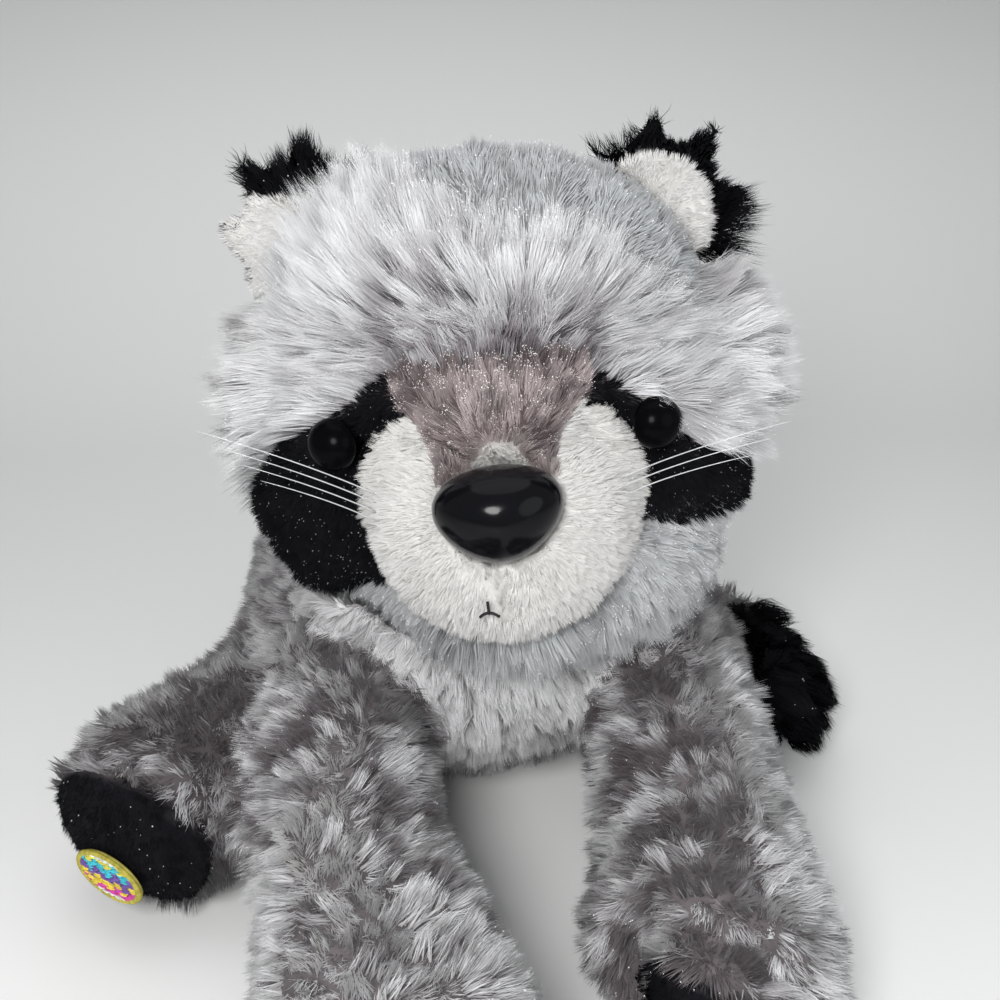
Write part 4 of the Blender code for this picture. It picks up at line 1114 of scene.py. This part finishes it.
tailGrey = dict(slot="grey_pile", piece="tailGreyPlush", inset=3.8, skin=(0.12, 0.12, 0.125), perMm=4.4,
                long=(5, 7.5), lean=44, bend=15, tuft=4.0, pull=0.6, stray=12, wide=0.32, tinsel=0.02,
                steps=2, comb=awayFrom((40, 60, 12)),
                light=[(0.3, 0.3, 0.31), (0.6, 0.6, 0.61), (0.84, 0.84, 0.85)],
                dark=[(0.08, 0.07, 0.075), (0.22, 0.20, 0.205), (0.55, 0.53, 0.54)])
tailBlack = dict(tailGrey, **blackStrands)
tailBlack.update(slot="black_pile", piece="tailBlackPlush", inset=5.0, skin=(0.003, 0.003, 0.004), pull=0.85,
                 long=(7, 10.5), tinsel=0.004, tuft=7.0, perMm=5.0)
coatTail = [
    dict(tailGrey, nodes=["tail_band_1", "tail_band_3", "tail_band_5"]),
    dict(tailBlack, nodes=["tail_band_2", "tail_band_4", "tail_band_6"]),
]


def tailKinds(p, kind, n):
    # the black of the tip reaches some way into the last grey ring
    return np.where(p[:, 1] < -4, 1, np.where(p[:, 1] < 14, 0, kind))


tailSet = {"waist": 3.6, "tip": 3.6, "side": 1.5}     # how deep the skin is drawn in, in mm


def tailDents(p, n):
    # slimmer before the full tip, and the tip rounded
    x, y, z = p.T
    low = tailSet["tip"] * ease(-37, -47, y) + tailSet["side"] * ease(70, 80, x)
    return tailSet["waist"] * ease(-4, 6, y) * ease(36, 20, y) + low


def earParts(side):
    name = "right" if side < 0 else "left"
    seat = np.array(onHead(side * 100, 47, -9))
    rise = unit(fromHeadWay(np.array([[side * 0.66, 0.10, 0.75]])))[0]
    look = unit(fromHeadWay(np.array([[side * 0.18, -1, 0.08]])))[0]
    across = unit(np.cross(look, rise)[None])[0]
    liningTop = 121.0 if side < 0 else 134.0      # the right ear's black tip folds over its lining

    def kinds(p, kind, n):
        high, wide = (p - seat) @ rise, (p - seat) @ across
        facing = n @ look > (-0.9 if side < 0 else 0.0)
        oval = (wide / 11.5) ** 2 + ((high - 12) / 12.5) ** 2 < 1
        return np.where(facing & (oval | (side < 0)) & (p[:, 2] < liningTop), 1, 0)

    def comb(p, n):
        return unit(p - seat) + np.outer(np.sign((p - seat) @ across), across) * 0.5

    def long(p, n):
        # tufts at the tip of the right ear, and at the outer edge and the inner corner of the left one
        high, wide = (p - seat) @ rise, (p - seat) @ across * side
        if side < 0:
            return 0.15 + 0.55 * ease(118, 122, p[:, 2])
        return 0.4 + 0.7 * np.maximum(ease(-4, -9, wide) * ease(27, 20, high), 0.5 * ease(7, 11, wide))

    def thick(p):
        wide = (p - seat) @ across * side
        return 1 - 0.5 * ease(4, 8, wide) * (side > 0)

    return [
        dict(blackStrands, nodes=["ear_" + name], piece="earShag_" + name, slot="black_pile", inset=1.5,
             skin=(0.004, 0.004, 0.005), perMm=9.0, long=(7.5, 11.5), lean=44, bend=10, tuft=3.0, pull=0.62,
             stray=11, tuftTurn=22, wide=0.20, steps=2, comb=comb, longAt=long, thick=thick, tinsel=0.005),
        dict(nodes=["ear_lining_" + name], piece="earLining_" + name, slot="white_pile", inset=0.6,
             skin=(0.60, 0.585, 0.56), perMm=15.0, long=(1.5, 2.4), lean=30, tuft=1.7, pull=0.4, stray=16,
             wide=0.25, comb=comb, tinsel=0.004, darkShare=0.1, strandShade=0.12,
             light=[(0.74, 0.73, 0.71), (0.84, 0.83, 0.82), (0.92, 0.91, 0.895)],
             dark=[(0.45, 0.43, 0.41), (0.6, 0.58, 0.56), (0.70, 0.685, 0.665)]),
    ], kinds


def treeOf(skin):
    mesh = skin.data
    verts = (numbers(mesh.vertices, "co", np.float32, 3) / mm).tolist()
    return BVHTree.FromPolygons(verts, triangles(mesh).tolist())


headSkin = closedSkin("headSkin", nodesOf(coatHead), 1.1)
trunkSkin = closedSkin("trunkSkin", nodesOf(coatTrunk))
tailSkin = closedSkin("tailSkin", nodesOf(coatTail))
ears = {side: earParts(side) for side in (-1, 1)}
earSkins = {side: closedSkin("earSkin_%s" % ("right" if side < 0 else "left"), nodesOf(ears[side][0]), 0.9)
            for side in (-1, 1)}
note("skins wrapped")
headOutside = treeOf(headSkin)
earTrees = [treeOf(skin) for skin in earSkins.values()]
total = dress(headSkin, coatHead, earTrees, 101, headKinds, headDents)
headTree = treeOf(headSkin)
total += dress(trunkSkin, coatTrunk, [headTree], 201, trunkKinds, trunkDents)
total += dress(tailSkin, coatTail, [treeOf(trunkSkin)], 301, tailKinds, tailDents)
for side, skin in earSkins.items():
    total += dress(skin, ears[side][0], [headTree], 401 + side, ears[side][1])
note("coats grown, %d triangles" % total)


# moulded and sewn parts
def mouldedPlastic(name, colour, roughness, specular=0.5):
    # flow marks of the mould in its roughness, relief and tone
    made, nodes, links, shader = newMaterial(name)
    flow = patternOn(nodes, links, "TexNoise", {"Scale": 90})
    scuffs = addNode(nodes, "MapRange", {"To Min": roughness * 0.9, "To Max": roughness * 1.3})
    dust = blend(nodes, colour, [min(1, c * 1.5 + 0.002) for c in colour])
    addRelief(nodes, links, flow, shader, 0.1, 0.0002)
    joinUp(links, (flow, "Fac", scuffs, "Value"), (scuffs, 0, shader, "Roughness"),
           (flow, "Fac", dust, "Factor"), (dust, "Result", shader, "Base Color"))
    setInputs(shader, {"Specular IOR Level": specular})
    return made


def wear(material, *nodes):
    for node in nodes:
        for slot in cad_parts[node].material_slots:
            slot.link = "OBJECT"
            slot.material = material


def pieceFrom(name, verts, faces, material, nodes=()):
    mesh = bpy.data.meshes.new(name)
    mesh.from_pydata([tuple(v) for v in verts], [], faces)
    mesh.update()
    mesh.shade_smooth()
    mesh.materials.append(material)
    made = bpy.data.objects.new(name, mesh)
    bpy.context.scene.collection.objects.link(made)
    if nodes:
        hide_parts(*nodes)
    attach(made, "root")
    return made


def outwardFrame(point, outward):
    # as in the CAD: its -Y looks outward, and its +X is to the right when looked at
    back = -Vector(outward).normalized()
    right = back.cross(Vector((0, 0, 1))).normalized()
    up = right.cross(back).normalized()
    return Matrix.Translation(point) @ Matrix((right, back, up)).transposed().to_4x4()


def mouldedForm(name, place, rings, tip, material, nodes):
    # rings from the back to the front, each (list of (x, z), depth), closed by a point at both ends
    count = len(rings[0][0])
    verts = [place @ Vector((0, rings[0][1], 0)) * mm]
    for outline, depth in rings:
        verts += [place @ Vector((x, depth, z)) * mm for x, z in outline]
    verts.append(place @ Vector((0, tip, 0)) * mm)
    faces = [(0, 1 + (i + 1) % count, 1 + i) for i in range(count)]
    for k in range(len(rings) - 1):
        a, b = 1 + k * count, 1 + (k + 1) * count
        faces += [(a + i, a + (i + 1) % count, b + (i + 1) % count, b + i) for i in range(count)]
    last = 1 + (len(rings) - 1) * count
    faces += [(last + i, last + (i + 1) % count, len(verts) - 1) for i in range(count)]
    made = pieceFrom(name, verts, faces, material, nodes)
    tidy = bmesh.new()
    tidy.from_mesh(made.data)
    bmesh.ops.recalc_face_normals(tidy, faces=tidy.faces)
    tidy.to_mesh(made.data)
    tidy.free()
    made.data.shade_smooth()


blackGloss = mouldedPlastic("blackGloss", (0.002, 0.002, 0.003), 0.13, 0.14)
eyeGloss = mouldedPlastic("eyeGloss", (0.001, 0.001, 0.0015), 0.2, 0.03)
washerPlain = mouldedPlastic("washerPlain", (0.72, 0.72, 0.69), 0.45)

noseSet = {"wide": 20.5, "high": 15.5, "deep": 8.0, "lift": 16, "sink": 0.96, "roll": -4, "full": 0.20}
eyeSet = {"radius": 4.4, "high": 3.8, "turn": 34, "lift": -1, "out": 4.75, "look": (30, 2)}


def makeNose():
    muzzle = Vector(headSet["muzzleAt"])
    way = wayTo(0, noseSet["lift"])
    spot = muzzle + Vector(a * b for a, b in zip(headSet["muzzleHalf"], way)) - way * noseSet["sink"]
    place = headFrame @ outwardFrame(spot, way) @ Matrix.Rotation(math.radians(noseSet["roll"]), 4, "Y")
    angles = np.radians(np.linspace(90, 3, 26))
    stations = [(0.93, 0.25)] + [(math.sin(a), 0.10 - 1.16 * math.cos(a)) for a in angles]
    rings = []
    for scale, depth in stations:
        outline = []
        for t in np.linspace(0, 2 * math.pi, 72, endpoint=False):
            x = noseSet["wide"] / 2 * (1 + noseSet["full"] * math.cos(t)) * math.sin(t) * scale
            outline.append((x, noseSet["high"] / 2 * math.cos(t) * scale))
        rings.append((outline, depth * noseSet["deep"]))
    tip = -1.062 * noseSet["deep"]
    mouldedForm("noseMoulding", place, rings, tip, blackGloss, ["nose"])


def makeEye(side):
    name = "right" if side < 0 else "left"
    turn, lift = eyeSet["look"]
    spot = headInverse @ onHead(side * eyeSet["turn"], eyeSet["lift"], eyeSet["out"])
    place = headFrame @ outwardFrame(spot, wayTo(side * turn, lift))
    angles = np.radians(np.linspace(0, 86, 22))
    stations = [(0.9, 0.55), (1.0, 0.3)] + [(math.cos(a), -math.sin(a)) for a in angles]
    rings = []
    for scale, depth in stations:
        circle = [(eyeSet["radius"] * scale * math.sin(t), eyeSet["radius"] * scale * math.cos(t))
                  for t in np.linspace(0, 2 * math.pi, 64, endpoint=False)]
        rings.append((circle, depth * (eyeSet["high"] if depth < 0 else 1)))
    tip = -eyeSet["high"]
    mouldedForm("eyeMoulding_" + name, place, rings, tip, eyeGloss, ["eye_" + name])


makeNose()
for side in (-1, 1):
    makeEye(side)
wear(washerPlain, "nose_washer", "eye_washer_right", "eye_washer_left")

# whiskers of clear nylon, and the black thread of the mouth
whiskerSet = {"root": 0.125, "tip": 0.045, "reach": 27, "sag": 5, "ahead": 7, "sink": 1.5, "seat": 62,
              "lift": 20, "spacing": 3.5, "rise": {-1: 19, 1: 14}, "count": {-1: 4, 1: 3}}
mouthSet = {"thread": 0.24, "turn": -6.5, "lift": -22, "wide": 3.4, "proud": 0.25}


def clearNylon():
    made, nodes, links, shader = newMaterial("clearNylon")
    haze = patternOn(nodes, links, "TexNoise", {"Scale": 300})
    tint = blend(nodes, (0.86, 0.88, 0.90), (0.98, 0.98, 0.98))
    joinUp(links, (haze, "Fac", tint, "Factor"), (tint, "Result", shader, "Base Color"))
    setInputs(shader, {"Transmission Weight": 0.45, "Roughness": 0.12, "IOR": 1.53})
    return made


def twistedThread():
    made, nodes, links, shader = newMaterial("twistedThread")
    twist = patternOn(nodes, links, "TexWave", {"Scale": 900, "Distortion": 1.5})
    tone = blend(nodes, (0.004, 0.004, 0.005), (0.012, 0.012, 0.014))
    addRelief(nodes, links, twist, shader, 0.5, 0.0001)
    joinUp(links, (twist, "Fac", tone, "Factor"), (tone, "Result", shader, "Base Color"))
    setInputs(shader, {"Roughness": 0.7})
    return made


def onMuzzle(turn, lift, out):
    way = wayTo(turn, lift)
    spot = Vector(a * b for a, b in zip(headSet["muzzleHalf"], way)) + Vector(headSet["muzzleAt"])
    return headFrame @ (spot + way * out)


def roundThread(points, radii, sides=8):
    # a closed tube along the points, in millimetres
    points = [Vector(p) for p in points]
    verts, faces = [], []
    along = (points[1] - points[0]).normalized()
    side = along.orthogonal().normalized()
    for i, (point, radius) in enumerate(zip(points, radii)):
        ahead = (points[min(i + 1, len(points) - 1)] - points[max(i - 1, 0)]).normalized()
        side = (side - ahead * side.dot(ahead)).normalized()
        other = ahead.cross(side)
        verts += [(point + (side * math.cos(t) + other * math.sin(t)) * radius) * mm
                  for t in np.linspace(0, 2 * math.pi, sides, endpoint=False)]
    for i in range(len(points) - 1):
        a, b = i * sides, (i + 1) * sides
        faces += [(a + k, a + (k + 1) % sides, b + (k + 1) % sides, b + k) for k in range(sides)]
    faces.append(tuple(reversed(range(sides))))
    faces.append(tuple(range((len(points) - 1) * sides, len(points) * sides)))
    return verts, faces


def makeWhiskers(side, word, nylon):
    for k in range(whiskerSet["count"][side]):
        lift = whiskerSet["lift"] - whiskerSet["spacing"] * k
        start = onMuzzle(side * whiskerSet["seat"], lift, -whiskerSet["sink"])
        points, radii = [], []
        for t in np.linspace(0, 1, 25):
            way = Vector((side * whiskerSet["reach"] * (1 - 0.13 * k) * t,
                          -whiskerSet["ahead"] * math.sin(math.pi * 0.6 * t),
                          whiskerSet["rise"][side] * (1 - 0.08 * k) * t - whiskerSet["sag"] * t * t))
            points.append(start + headFrame.to_3x3() @ way)
            radii.append(whiskerSet["root"] + (whiskerSet["tip"] - whiskerSet["root"]) * t)
        verts, faces = roundThread(points, radii)
        pieceFrom("whiskerNylon_%s_%d" % (word, k + 1), verts, faces, nylon,
                  ["whisker_%s_%d" % (word, k + 1)])


def makeMouth(thread):
    # a short curved stitch, and one upright above it
    turn, lift, radius, proud = mouthSet["turn"], mouthSet["lift"], mouthSet["thread"], mouthSet["proud"]
    halfTurn = math.degrees(mouthSet["wide"] / 2 / headSet["muzzleHalf"][0])
    smile = [onMuzzle(turn + halfTurn * s, lift - 2 * s * s, proud) for s in np.linspace(-1, 1, 13)]
    upright = [onMuzzle(turn, lift + u, proud) for u in np.linspace(5, -0.5, 9)]
    verts, faces = roundThread(smile, [radius] * len(smile))
    more, moreFaces = roundThread(upright, [radius] * len(upright))
    faces += [tuple(i + len(verts) for i in f) for f in moreFaces]
    pieceFrom("mouthThread", verts + more, faces, thread, ["mouth_stitch"])


whiskerNylon = clearNylon()
for side, word in ((-1, "right"), (1, "left")):
    makeWhiskers(side, word, whiskerNylon)
makeMouth(twistedThread())

# the embroidered badge on the sole of the right hind foot: a plain oval of zigzag bands in a thin border
badge = {
    "border": (0.44, 0.38, 0.05), "field": (0.66, 0.70, 0.62), "rim": 0.10, "proud": 0.35, "thread": 0.15,
    "bands": [(0.04, 0.42, 0.55), (0.66, 0.70, 0.62), (0.60, 0.05, 0.34), (0.78, 0.60, 0.05),
              (0.16, 0.08, 0.34), (0.05, 0.50, 0.60), (0.70, 0.62, 0.08), (0.55, 0.08, 0.40)],
    "slope": 0.42, "wave": 0.5, "pitch": 0.30, "backing": (0.5, 0.45, 0.1), "corners": 48,
}


def badgeMaterial():
    values = {"Dye Grain": 900, "Dye Uneven": 0.22, "Dull": 0.55, "Bright": 0.35}
    made, nodes, links, shader = fibreMaterial("badgeThread", values)
    floss = patternOn(nodes, links, "TexNoise", {"Scale": 2600})
    addRelief(nodes, links, floss, shader, 0.4, 0.0001)
    return made


def makeBadge():
    # its place comes from the solid: middle, and the directions of its long, short and thin sides
    corners = np.array([v.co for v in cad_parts["foot_patch"].data.vertices]) / mm
    middle = (corners.max(0) + corners.min(0)) / 2
    _, _, ways = np.linalg.svd(corners - corners.mean(0), full_matrices=False)
    long, high, out = ways
    out = out * np.sign((out @ (-0.3, -1, 0.1)) + 1e-9)
    high = high * np.sign(high[2] + 1e-9)
    long = np.cross(high, -out)
    a = np.abs((corners - middle) @ long).max()
    b = np.abs((corners - middle) @ high).max()
    top = np.abs((corners - middle) @ out).max() * 0.55

    def at(u, v, lift):
        dome = math.sqrt(max(0.0, 1 - min(1.0, u * u + v * v)))
        return middle + long * (u * a) + high * (v * b) + out * (top * (0.35 + 0.65 * dome) + lift)

    verts, faces, colours = [], [], []

    def stitches(line, colour, radius):
        tube, sides = roundThread(line, [radius * 0.6] + [radius] * (len(line) - 2) + [radius * 0.6], 6)
        faces.extend(tuple(i + len(verts) for i in f) for f in sides)
        verts.extend(tube)
        colours.extend([colour] * len(tube))

    rng = np.random.default_rng(77)
    inner = 1 - badge["rim"] * 1.3
    # the field: rows of floss from side to side, coloured by the band that they lie in
    for v in np.arange(-inner, inner, badge["pitch"] / b):
        reach = math.sqrt(max(0.0, inner ** 2 - v * v))
        u = -reach
        while u < reach - 0.04:
            step = min(rng.uniform(0.16, 0.26), reach - u)
            mid = u + step / 2
            zigzag = abs((mid / badge["wave"]) % 1 - 0.5) * badge["slope"] * 2
            band = int((v + zigzag + 1.2) / 2.6 * len(badge["bands"])) % len(badge["bands"])
            colour = badge["bands"][band] if abs(v) < inner * 0.8 else badge["field"]
            colour = np.clip(np.array(colour) * rng.uniform(0.75, 1.2), 0, 0.95)
            line = []
            for s in (0, 0.25, 0.5, 0.75, 1):
                arch = badge["thread"] * math.sin(math.pi * s)
                line.append(Vector(at(u + step * s, v + rng.uniform(-0.01, 0.01), arch)))
            stitches(line, tuple(colour), badge["thread"])
            u += step
    # the border: close floss wound over a cord
    turns = int(2 * math.pi * (a + b) / 2 / badge["pitch"])
    for i in range(turns):
        t = 2 * math.pi * i / turns
        line = []
        for s in np.linspace(0, 1, 6):
            scale = 1 - badge["rim"] * 1.5 * s
            arch = badge["proud"] * math.sin(math.pi * s)
            line.append(Vector(at(scale * math.cos(t), scale * math.sin(t), arch)))
        colour = np.clip(np.array(badge["border"]) * rng.uniform(0.8, 1.15), 0, 0.95)
        stitches(line, tuple(colour), badge["thread"] * 1.1)
    # the backing cloth under the floss
    count = badge["corners"]
    ring = [Vector(at(0.97 * math.cos(t), 0.97 * math.sin(t), -0.1))
            for t in np.linspace(0, 2 * math.pi, count, False)]
    low = [p - Vector(out) * 0.5 for p in ring]
    base = len(verts)
    verts.extend(p * mm for p in ring + low)
    verts.extend([Vector(at(0, 0, -0.1)) * mm, (Vector(at(0, 0, -0.1)) - Vector(out) * 0.8) * mm])
    colours.extend([badge["backing"]] * (2 * count + 2))
    upper, lower = base + 2 * count, base + 2 * count + 1
    for i in range(count):
        here, beside = base + i, base + (i + 1) % count
        faces.append((here, beside, upper))
        faces.append((beside + count, here + count, lower))
        faces.append((here, here + count, beside + count, beside))
    made = pieceFrom("footBadge", verts, faces, badgeMaterial(), ["foot_patch"])
    colourPoints(made.data, colours)
    shinePoints(made.data, np.full(len(verts), 0.5))


makeBadge()
note("moulded and sewn parts finished")

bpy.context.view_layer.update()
note("whole toy written")
